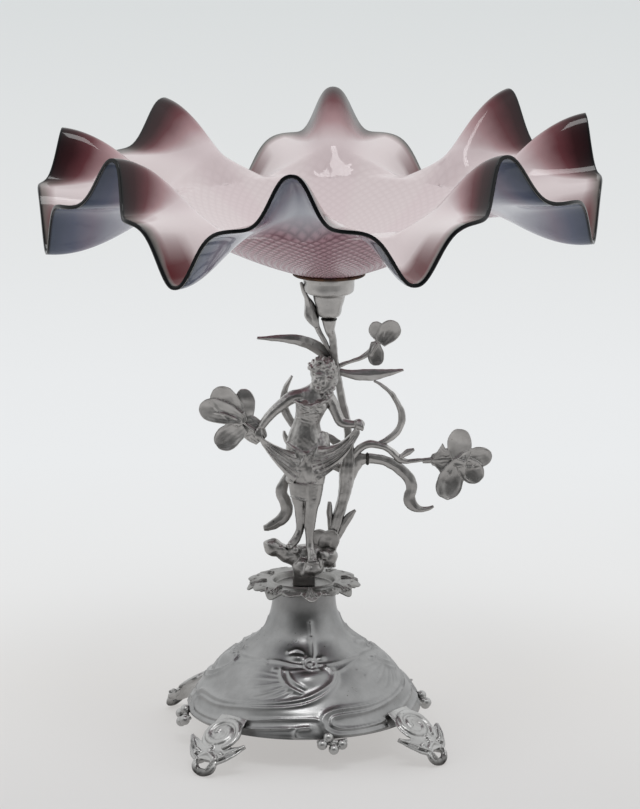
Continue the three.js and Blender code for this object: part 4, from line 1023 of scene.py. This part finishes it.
def legs():
    """Both legs, the thin skirt that falls between them, and the toes of the front foot."""
    rear_leg = [
        [-2.6, -4.4, 64, 12, 11], [-2.8, -4.2, 57, 11, 10], [-2.4, -4, 50, 9, 8.4],
        [-2, -4, 46, 7], [-1.6, -3, 41, 6.8], [-1.6, -2.8, 37, 6], [-2.2, -3, 32, 4.6],
        [-3.4, -3.6, 28.8, 4.8], [-5, -5, 26.2, 5, 4.2], [-7.4, -7, 24, 4.4, 3.4],
    ]
    rear_toes = ball(-8, -7.5, 23.5, 2.1, 1.8, 1.5, 30)
    front_leg = [
        [5.8, -6.6, 64, 12, 11], [5.2, -6.8, 56, 11, 10.2], [4.8, -7.2, 49.5, 9],
        [4.3, -7.6, 46, 7.4], [3.7, -6.6, 40.5, 7], [3.3, -6.4, 35.5, 6.2],
        [3.2, -6.4, 27.5, 4.4], [3.4, -6.8, 23, 4.8], [4, -8.6, 20, 5.2, 4.8],
        [4.6, -10.6, 17.9, 5.6, 3.8],
    ]
    front_toes = ball(4.7, -11.2, 17.3, 2.8, 1.6, 1.5)
    skirt = [
        [1, -5, 66, 18, 12], [1.2, -5, 58, 16.4, 10.6], [1.2, -5.2, 52, 14.4, 9],
        [1.2, -5, 50, 11, 6],
    ]
    shapes = [limb(rear_leg), rear_toes, limb(front_leg), front_toes, limb(skirt, sides=20)]
    shapes += [ball(2.6 + 1.05 * k, -12.2 - 0.1 * k, 16.3 + 0.12 * k, 0.75, 0.9, 0.8)
               for k in range(5)]
    return shapes


make_piece("cast_maiden", *maiden(), dull_silver, ["maiden_figure"])

# Socket cup
# A turned and plated cup, soldered on the stem's top with a dark ring of solder and dented with
# age. Its mouth takes the peg of the dish in a sleeve of cork.
cup_foot = 242.0
cup_top = 266.0
cork_mouth = 8.6


def lathe(axis, profile, segments=72):
    """A ring turned about an upright axis from [radius, height] pairs."""
    turns = 2 * math.pi * np.arange(segments) / segments
    return ring_skin([upright_ring(axis, turns, out, up) for out, up in profile])


def bevelled(profile, radius=0.35):
    """The same section with each corner cut by a small round, as a turned edge has."""
    result = []
    count = len(profile)
    for k in range(count):
        here = np.array(profile[k], float)
        for other in (profile[k - 1], profile[(k + 1) % count]):
            way = np.array(other, float) - here
            length = np.linalg.norm(way)
            result.append(here + way / length * min(radius, 0.3 * length))
    return result


def socket_cup():
    """The cup's turned section, from its foot up the outside and down into its bore."""
    profile = [
        (3.0, cup_foot), (5.4, cup_foot), (6.4, cup_foot + 1.4), (6.9, cup_foot + 3),
        (7.2, cup_foot + 5.5), (8.5, cup_foot + 9.5), (9, cup_foot + 12),
        (10.4, cup_foot + 13), (12.4, cup_foot + 13.4), (13.6, cup_foot + 14.6),
        (14, cup_foot + 17), (14, cup_top - 4), (14.9, cup_top - 2.2), (15, cup_top),
        (13.5, cup_top), (12.5, cup_top - 1), (cork_mouth + 0.1, cup_top - 1.4),
        (6.1, cup_foot + 12.4), (3.0, cup_foot + 12.4),
    ]
    points, faces = lathe(cup_axis, bevelled(profile))
    dents = ruffled(points, size=6.0, amount=0.5)
    keep = np.clip((np.hypot(*(points[:, :2] - cup_axis).T) - 9.4) / 2, 0, 1)[:, None]
    return points + (dents - points) * keep * np.array([1, 1, 0.4]), faces


make_piece("turned_cup", *socket_cup(), dull_silver, ["socket_cup"])

# Tie stud, washer and nut
# Turned steel, hidden in the bell's neck and not plated. The stud is screwed into the rock from
# below, and nut and washer draw collar and rock down on the bell.
thread_pitch = 0.8
nut_half = 5.2
turned_steel = plated_metal(
    "turned_steel", bright="#8a8c8e", dull="#707274", dark="#2c2c2c", roughness=0.34,
    grain_mm=0.35, wear=0.3)


def tie_parts():
    """The threaded stud, the washer and the six-sided nut, each with its points and faces."""
    web = bell_height - bell_web
    nut_top = web - 0.3 - 1.4 - 0.3
    washer = lathe(bell_axis, bevelled([
        (stud_hole, web - 1.7), (9, web - 1.7), (9, web - 0.3), (stud_hole, web - 0.3)]))
    stud_low = nut_top - 6.5
    stud_top = stand_foot + 9
    thread = [(0.3, stud_low), (2.0, stud_low)]
    for k in range(int((stud_top - stud_low) / thread_pitch)):
        low = stud_low + thread_pitch * (k + 0.25)
        thread += [(2.15, low), (2.5, low + thread_pitch / 2)]
    thread += [(2.0, stud_top), (0.3, stud_top)]
    stud = lathe(bell_axis, thread, 40)
    turns = 2 * math.pi * np.arange(96) / 96
    flat = math.radians(60)
    outer = nut_half * math.cos(flat / 2) / np.cos(turns % flat - flat / 2)
    nut = ring_skin([
        upright_ring(bell_axis, turns, stud_hole + (outer - stud_hole) * share, nut_top + up)
        for share, up in ((0, -4), (0.96, -4), (1, -3.6), (1, -0.4), (0.96, 0), (0, 0))])
    return stud, washer, nut


for tie_name, tie_shape in zip(("tie_stud", "tie_washer", "tie_nut"), tie_parts()):
    make_piece(f"steel_{tie_name}", *tie_shape, turned_steel, [tie_name], slot="steel")

# Cork sleeve
# A sleeve of raw cork round the dish's peg, squeezed into the cup by hand. It grips the peg and
# lets the dish turn.
peg_tip_radius = 4.6
peg_length = 13.5
seat_height = 268.0


def raw_cork():
    """Cut cork: matt brown with the darker pits of its grains, 1.6 mm apart."""
    material, shader = new_material("raw_cork")
    place = add(material, "ShaderNodeTexCoord").outputs["Object"]
    cells = add(material, "ShaderNodeTexVoronoi", {"Vector": place, "Scale": 1000 / 1.6})
    colour = add(material, "ShaderNodeValToRGB", {"Fac": cells.outputs["Distance"]},
                 [(0.1, "#6d4c2c"), (0.6, "#a67f52")])
    bump = add(material, "ShaderNodeBump", {
        "Height": cells.outputs["Distance"], "Strength": 0.5, "Distance": 0.0003})
    fill(material, shader, {
        "Base Color": colour.outputs["Color"], "Normal": bump.outputs["Normal"],
        "Roughness": 0.9})
    return material


peg_low = seat_height - peg_length
cork_profile = [(peg_tip_radius + 0.3, peg_low - 0.3), (peg_tip_radius + 1.4, peg_low - 0.3),
                (8.2, cup_top), (7.1, cup_top)]
make_piece("cork_collar", *lathe(cup_axis, bevelled(cork_profile, 0.2)), raw_cork(),
           ["cork_sleeve"], body="bowl_seat", slot="cork")

# Washer
# A thin disc of brown leather, cut out with a punch and laid between glass and cup. The weight
# of the dish has bent its edge down.
washer_low = cup_top + 0.3
washer_profile = [
    (7.5, washer_low), (15.6, washer_low), (18, washer_low - 0.3), (20, washer_low - 0.9),
    (20, washer_low + 0.4), (18, washer_low + 1.1), (15.6, washer_low + 1.4),
    (7.5, washer_low + 1.4),
]


def brown_leather():
    """Old leather: matt, stained dark brown, with pores drawn larger than they are to show."""
    material, shader = new_material("brown_leather")
    place = add(material, "ShaderNodeTexCoord").outputs["Object"]
    stain = add(material, "ShaderNodeTexNoise", {"Vector": place, "Scale": 1000 / 6, "Detail": 5.0})
    colour = add(material, "ShaderNodeValToRGB", {"Fac": stain.outputs["Fac"]},
                 [(0.35, "#2a1c12"), (0.7, "#6a4a30")])
    pores = add(material, "ShaderNodeTexVoronoi", {"Vector": place, "Scale": 1000 / 0.7})
    bump = add(material, "ShaderNodeBump", {
        "Height": pores.outputs["Distance"], "Strength": 0.4, "Distance": 0.0002})
    fill(material, shader, {
        "Base Color": colour.outputs["Color"], "Normal": bump.outputs["Normal"],
        "Roughness": 0.7})
    return material


washer_points, washer_faces = lathe(cup_axis, bevelled(washer_profile, 0.25))
make_piece("leather_washer", ruffled(washer_points, size=7.0, amount=0.12), washer_faces,
           brown_leather(), ["dish_washer"], body="bowl_seat", slot="leather")

# Glass dish
# Blown in a ribbed mould that left its diamond lattice, opened out hot and crimped into eight
# points. It is cased: rose outside, pale inside, and a band of plum and black at the rim.
peg_radius = 7.2
# The plain dish as blown and opened out: a sloping disc and, beyond it, a flatter flange
dish_reach = 154.5
dish_wall = 3.2
dish_seat = 22
disc_radius = 100
disc_slope = 0.32
disc_bow = 0.0026
flange_slope = 0.15
rim_wall = 2.4
# The crimped folds, which grow outwards from fold_start: how narrow and sharp tips and dips are
fold_start = 90
dip_pull = 2.2
tip_lobe = 0.2
dip_lobe = 0.25
lobe_sharpness = 2.4
rim_sway = 0.05
dish_lean = 0.014
# Round the dish from the front: where the tips and dips are, how far they rise, drop and draw in
tip_angles = [-6, 43, 97, 131, 177, 219, 264, 310]
dip_angles = [19, 78, 114, 154, 199, 242, 282, 330]
tip_rises = [29.3, 31.3, 32.5, 35.5, 30.3, 30.3, 29.5, 30.3]
dip_drops = [30, 30, 31.7, 30, 30, 30, 31.7, 32]
tip_pulls = [12, 12, 7, 12, 12, 12, 11.5, 12]
# The mould's lattice: sharp on the outside, and coming through faintly inside
lattice_ribs = 80
lattice_step = 5.6
inner_step = 5.0
lattice_depth = 0.3
inner_lattice_depth = 0.07
lattice_reach = 104


def dish_underside(out, phase):
    """Points under the dish: out is 0 at the seat, 1 at the rim; phase grows by 1 from tip to dip."""
    turns = np.array([angle for pair in zip(tip_angles, dip_angles) for angle in pair]
                     + [tip_angles[0] + 360], float)
    angle = np.radians(np.interp(phase, np.arange(17), turns))
    swing = np.cos(np.pi * phase)
    tip = np.round(phase / 2).astype(int) % 8
    dip = np.floor(phase / 2).astype(int) % 8
    pull = np.where(swing > 0, np.array(tip_pulls)[tip], dip_pull)
    rim = dish_reach - pull * swing**2
    radius = dish_seat + (rim - dish_seat) * out
    grown = np.sin(np.pi / 2 * np.clip((radius - fold_start) / (rim - fold_start), 0, 1))
    near_tip = np.abs(phase - 2 * np.round(phase / 2))
    lobes = (np.exp(-(near_tip / tip_lobe)**lobe_sharpness)
             - np.exp(-((1 - near_tip) / dip_lobe)**lobe_sharpness))
    rim_wave = rim_sway * swing + (1 - rim_sway) * lobes
    wave = swing + (rim_wave - swing) * grown
    reach = np.where(swing > 0, np.array(tip_rises)[tip], np.array(dip_drops)[dip])
    x = cup_axis[0] * (1 - out) + radius * np.sin(angle)
    y = cup_axis[1] * (1 - out) - radius * np.cos(angle)
    run = np.minimum(radius, disc_radius) - dish_seat
    plain = seat_height + (disc_slope + disc_bow * run) * run
    plain += flange_slope * np.maximum(0, radius - disc_radius)
    return np.stack([x, y, plain + reach * wave * grown + dish_lean * x * out], -1)


def lattice(points, step):
    """The mould's diamond pattern: two sets of ribs that cross, fading out at the flange."""
    x, y = points[:, 0] - cup_axis[0], points[:, 1] - cup_axis[1]
    radius, angle = np.hypot(x, y), np.arctan2(y, x)
    run = 2 * np.pi * radius / step
    left = np.cos((lattice_ribs * angle + run) / 2)
    right = np.cos((lattice_ribs * angle - run) / 2)
    ribs = np.maximum(np.abs(left), np.abs(right))**6
    return ribs * np.clip((lattice_reach - radius) / 10, 0, 1) * np.clip((radius - 8) / 10, 0, 1)


def glass_dish():
    """Points and faces, and for each point: mm from the rim, inside or outside, swing, rib."""
    per_crimp = 40
    phase = np.arange(16 * per_crimp) / per_crimp
    # More points stand at the tips and dips, where the rim turns sharply
    phase -= 0.2 * np.sin(2 * math.pi * phase) / (2 * math.pi)
    outs = np.concatenate([np.linspace(0, 0.62, 90), np.linspace(0.635, 0.97, 28),
                           np.linspace(0.975, 1, 6)])
    nudge = 0.004
    rings, rim_mm, inner, swing, rib = [], [], [], [], []

    def note(points, from_rim, inside, ribs=0.0):
        """Keep a ring of points, with its marks for the glass."""
        rings.append(points)
        rim_mm.append(np.full(len(phase), from_rim))
        inner.append(np.full(len(phase), inside))
        swing.append(np.cos(np.pi * phase))
        rib.append(np.broadcast_to(ribs, len(phase)))

    def normal_at(out):
        """The underside's ring at one share of the way out, its upward normals, and outward."""
        here = dish_underside(np.full(len(phase), out), phase)
        outward = dish_underside(np.full(len(phase), out + nudge), phase) - here
        around = dish_underside(np.full(len(phase), out), phase + nudge) - here
        normal = np.cross(outward, around)
        normal /= np.linalg.norm(normal, axis=1)[:, None]
        return here, normal * np.sign(normal[:, 2:]), outward

    def circle(radius, height):
        """A plain ring about the peg."""
        seat = dish_underside(np.zeros(len(phase)), phase)
        around = (seat[:, :2] - cup_axis) * radius / dish_seat + cup_axis
        return np.column_stack([around, np.full(len(phase), height)])

    def wall_at(out):
        """The wall's thickness, less towards the rim."""
        return dish_wall + (rim_wall - dish_wall) * min(1, max(0, (out - 0.8) / 0.2))

    span = dish_reach - dish_seat
    note(circle(peg_tip_radius - 0.6, peg_low), span, 0)
    note(circle(peg_tip_radius, peg_low + 0.6), span, 0)
    for share in np.linspace(0.1, 1, 6):
        radius = peg_tip_radius + (peg_radius - peg_tip_radius) * share
        note(circle(radius, peg_low + peg_length * share), span, 0)
    for out in outs:
        here, up, _ = normal_at(out)
        ribs = lattice(here, lattice_step)
        keep = min(1, out / 0.03)
        note(here + up * (1 - ribs)[:, None] * lattice_depth * keep, span * (1 - out), 0, ribs)
    here, up, outward = normal_at(1.0)
    outward /= np.linalg.norm(outward, axis=1)[:, None]
    for turn in np.linspace(0.2, 0.8, 4) * math.pi:
        bulge = here + up * rim_wall / 2 * (1 - math.cos(turn))
        note(bulge + outward * 0.5 * (math.sin(turn) - 0.6), 0, turn / math.pi)
    for out in outs[::-1]:
        here, up, _ = normal_at(out)
        ribs = lattice(here, inner_step)
        lift = wall_at(out) - (1 - ribs)[:, None] * inner_lattice_depth
        note(here + up * lift, span * (1 - out), 1, ribs)
    for share in (0.7, 0.4, 0.1):
        note(circle(dish_seat * share, seat_height + dish_wall - inner_lattice_depth), span, 1)
    points, faces = shell_of(rings)
    pad = [0, 0]
    return points, faces, {
        "rim_mm": np.concatenate([*rim_mm, pad]), "inner": np.concatenate([*inner, pad]),
        "swing": np.concatenate([*swing, pad]), "rib": np.concatenate([*rib, pad])}


def cased_glass():
    """Polished cased glass: what the eye sees is a milky layer under a clear one."""
    material, shader = new_material("cased_rose_glass")
    rim, inner, swing, rib = [
        add(material, "ShaderNodeAttribute", attribute_name=name).outputs["Fac"]
        for name in ("rim_mm", "inner", "swing", "rib")]
    place = add(material, "ShaderNodeTexCoord").outputs["Object"]
    clouds = add(material, "ShaderNodeTexNoise", {"Vector": place, "Scale": 1000 / 26, "Detail": 3.0})
    wander = add(material, "ShaderNodeMath", {0: clouds.outputs["Fac"], 1: -0.5}, operation="ADD")
    shifted = add(material, "ShaderNodeMath", {0: wander.outputs[0], 1: 10.0, 2: rim},
                  operation="MULTIPLY_ADD").outputs[0]
    # Where layers show: 0 at the first value of a mark and 1 at the second
    pointed, low_point, rose, edge = [
        add(material, "ShaderNodeMapRange", {
            "Value": mark, "From Min": none, "From Max": full}).outputs["Result"]
        for mark, none, full in (
            (swing, 0.15, 0.7), (swing, -0.45, -0.85), (rim, 46.0, 60.0), (rim, 0.5, 1.7))]
    # How far in from the rim, as a share of each casing's depth. The dark casing runs deep into
    # each upward point and is a narrow band in between
    dark_depth = add(material, "ShaderNodeMapRange", {
        "Value": swing, "From Min": 0.0, "From Max": 0.9, "To Min": 10.0, "To Max": 42.0})
    dark_share, wine_share, cool_share = [
        add(material, "ShaderNodeMath", {0: shifted, 1: deep}, operation="DIVIDE").outputs[0]
        for deep in (dark_depth.outputs["Result"], 30.0, 44.0)]
    points, band, cool = [
        add(material, "ShaderNodeValToRGB", {"Fac": share}, stops).outputs["Color"]
        for share, stops in (
            (dark_share, [(0.0, "#1b1315"), (0.22, "#341a1d"), (0.44, "#5f3439"),
                          (0.72, "#9f8184"), (1.0, "#c7babc")]),
            (dark_share, [(0.0, "#4a4743"), (0.35, "#7f7674"), (0.7, "#a99a9b"),
                          (1.0, "#c9bebf")]),
            (cool_share, [(0.0, "#4c5463"), (0.25, "#6a6e80"), (0.48, "#8f8794"),
                          (0.7, "#aaa8b2"), (1.0, "#cbcad0")]))]
    # A wine-red patch lies a little inside each downward point
    patch = add(material, "ShaderNodeValToRGB", {"Fac": wine_share},
                [(0.06, 0.0), (0.18, 1.0), (0.7, 0.9), (1.0, 0.0)]).outputs["Color"]
    wine = add(material, "ShaderNodeMath", {0: low_point, 1: patch}, operation="MULTIPLY")
    grid = add(material, "ShaderNodeMath", {0: rib, 1: 0.26}, operation="MULTIPLY")
    tones = {
        "points": points, "band": band, "cool": cool, "wine red": linear("#5f2227"),
        "milk": linear("#b3a4a6"), "pale rose": linear("#b9929a"), "rose": linear("#7d5a62"),
        "black": linear("#0b0d0f")}
    # The glass from the inside out: a layer, where it is the second tone, and its two tones
    for layer, share, first, second in (
            ("inside", pointed, "band", "points"), ("inside", wine.outputs[0], "inside", "wine red"),
            ("inside", grid.outputs[0], "inside", "milk"), ("ribs", rib, "pale rose", "rose"),
            ("outside", rose, "cool", "ribs"), ("dish", inner, "outside", "inside"),
            ("dish", edge, "black", "dish")):
        tones[layer] = add(material, "ShaderNodeMix", {
            "Factor": share, "A": tones[first], "B": tones[second]},
            data_type="RGBA").outputs["Result"]
    fill(material, shader, {
        "Base Color": tones["dish"], "Roughness": 0.05, "IOR": 1.52,
        "Specular IOR Level": 0.25})
    return material


dish_points, dish_faces, dish_marks = glass_dish()
dish_piece = make_piece("crimped_dish", dish_points, dish_faces, cased_glass(), ["glass_dish"],
                        body="bowl", slot="cased_glass")
for mark_name, mark_values in dish_marks.items():
    mark = dish_piece.data.attributes.new(mark_name, "FLOAT", "POINT")
    mark.data.foreach_set("value", mark_values.astype(np.float32))

# Floor
# A wide sheet of pale paper, the whole background. It glows a little where it is seen, as if
# lit from below, so the shadow of the feet stays but is soft. In front of the stand the paper
# falls off into shade.
paper_glow = 0.68
paper_reach = 20.0


def floor_paper():
    """Matt paper, pale grey: a little brighter far behind the stand than near it."""
    material, shader = new_material("pale_paper")
    place = add(material, "ShaderNodeTexCoord").outputs["Object"]
    away = add(material, "ShaderNodeSeparateXYZ", {"Vector": place}).outputs["Y"]
    shade = add(material, "ShaderNodeMapRange", {
        "Value": away, "From Min": -0.7, "From Max": -0.18,
        "To Min": 0.46, "To Max": 1.0}, interpolation_type="SMOOTHSTEP").outputs["Result"]
    colour = add(material, "ShaderNodeMix", {
        "Factor": shade, "A": linear("#404040"), "B": linear("#dfe2e4")}, data_type="RGBA")
    fill(material, shader, {"Base Color": colour.outputs["Result"], "Roughness": 0.9})
    # The glow's tone is painted light and shade: darker and warmer just in front of the stand,
    # brightest some way behind it, dimmer far off
    share = add(material, "ShaderNodeMapRange", {
        "Value": away, "From Min": -0.2, "From Max": 3.2}).outputs["Result"]
    tone = add(material, "ShaderNodeValToRGB", {"Fac": share}, [
        (0.02, "#cfccca"), (0.09, "#dedbd8"), (0.15, "#e7e6e5"), (0.25, "#ecedee"),
        (0.33, "#ecedee"), (0.5, "#e6e7e7"), (0.93, "#dadddd")])
    glow = add(material, "ShaderNodeEmission", {
        "Color": tone.outputs["Color"], "Strength": shade})
    # The glow shows to the camera, in a reflection and through glass, and lights nothing
    path = add(material, "ShaderNodeLightPath").outputs
    seen = path["Is Camera Ray"]
    for kind in ("Is Glossy Ray", "Is Transmission Ray"):
        seen = add(material, "ShaderNodeMath", {0: seen, 1: path[kind]},
                   operation="MAXIMUM").outputs[0]
    part = add(material, "ShaderNodeMath", {0: seen, 1: paper_glow}, operation="MULTIPLY")
    mixed = add(material, "ShaderNodeMixShader", {
        0: part.outputs[0], 1: shader.outputs["BSDF"], 2: glow.outputs["Emission"]})
    output = material.node_tree.nodes["Material Output"]
    fill(material, output, {"Surface": mixed.outputs["Shader"]})
    return material


def paper_floor():
    """The sheet itself, a flat disc in metres that is no part of the bowl."""
    rings = [[(reach * math.sin(turn), reach * math.cos(turn), 0.0)
              for turn in np.linspace(0, 2 * math.pi, 97)[:-1]]
             for reach in (0.5, 2.0, 6.0, paper_reach)]
    points = [point for ring in rings for point in ring]
    faces = band_faces(len(rings), 96) + [tuple(range(96))]
    mesh = bpy.data.meshes.new("paper_floor")
    mesh.from_pydata(points, [], faces)
    mesh.materials.append(floor_paper())
    floor = bpy.data.objects.new("paper_floor", mesh)
    bpy.context.scene.collection.objects.link(floor)


paper_floor()

# Light
# One soft box high in front of the table, and a pale room all round. The far end of the room,
# behind the camera, is dark, and the metal and the glass reflect it.
room_strength = 1.62


def soft_box(name, place, target, size, watts):
    """A rectangular lamp at a place in metres, turned to its target."""
    lamp = bpy.data.lights.new(name, "AREA")
    lamp.shape = "RECTANGLE"
    lamp.size, lamp.size_y = size
    lamp.energy = watts
    box = bpy.data.objects.new(name, lamp)
    box.location = place
    way = Vector(target) - Vector(place)
    box.rotation_euler = way.to_track_quat("-Z", "Y").to_euler()
    bpy.context.scene.collection.objects.link(box)


def pale_room():
    """Bright walls, a dimmer ceiling, and the dark end of the room behind the camera."""
    room = bpy.data.worlds.new("pale_room")
    bpy.context.scene.world = room
    room.use_nodes = True
    way = add(room, "ShaderNodeTexCoord").outputs["Generated"]
    level = add(room, "ShaderNodeSeparateXYZ", {"Vector": way}).outputs["Z"]
    walls = add(room, "ShaderNodeValToRGB", {"Fac": level},
                [(0.0, "#b9baba"), (0.35, "#cccdcd"), (0.6, "#dcdddd"), (0.95, "#c8c9c9")])
    toward = add(room, "ShaderNodeVectorMath", {0: way, 1: (0.0, -0.985, 0.0)},
                 operation="DOT_PRODUCT").outputs["Value"]
    dark_end = add(room, "ShaderNodeMapRange", {
        "Value": toward, "From Min": 0.4, "From Max": 0.9}).outputs["Result"]
    shade = add(room, "ShaderNodeMix", {
        "Factor": dark_end, "A": walls.outputs["Color"], "B": linear("#3c3d3d")},
        data_type="RGBA").outputs["Result"]
    fill(room, room.node_tree.nodes["Background"], {"Color": shade, "Strength": room_strength})


soft_box("high_box", place=(0.05, -0.8, 1.9), target=(0, 0, 0.1), size=(0.55, 0.8), watts=11)
pale_room()

# Camera
# As in the photograph: a long lens well back from the table, a little above the dish and
# looking down at the bowl. Places are in metres.
camera_back = 2.346
camera_height = 0.738
camera_tilt = 13.1
lens = bpy.data.cameras.new("long_lens")
lens.lens = 193.3
lens.sensor_width = 36
lens.sensor_fit = "VERTICAL"
lens.sensor_height = 36
camera = bpy.data.objects.new("camera", lens)
camera.location = (0, -camera_back, camera_height)
camera.rotation_euler = (math.radians(90 - camera_tilt), 0, 0)
bpy.context.scene.collection.objects.link(camera)
bpy.context.scene.camera = camera
bpy.context.scene.view_settings.view_transform = "Standard"
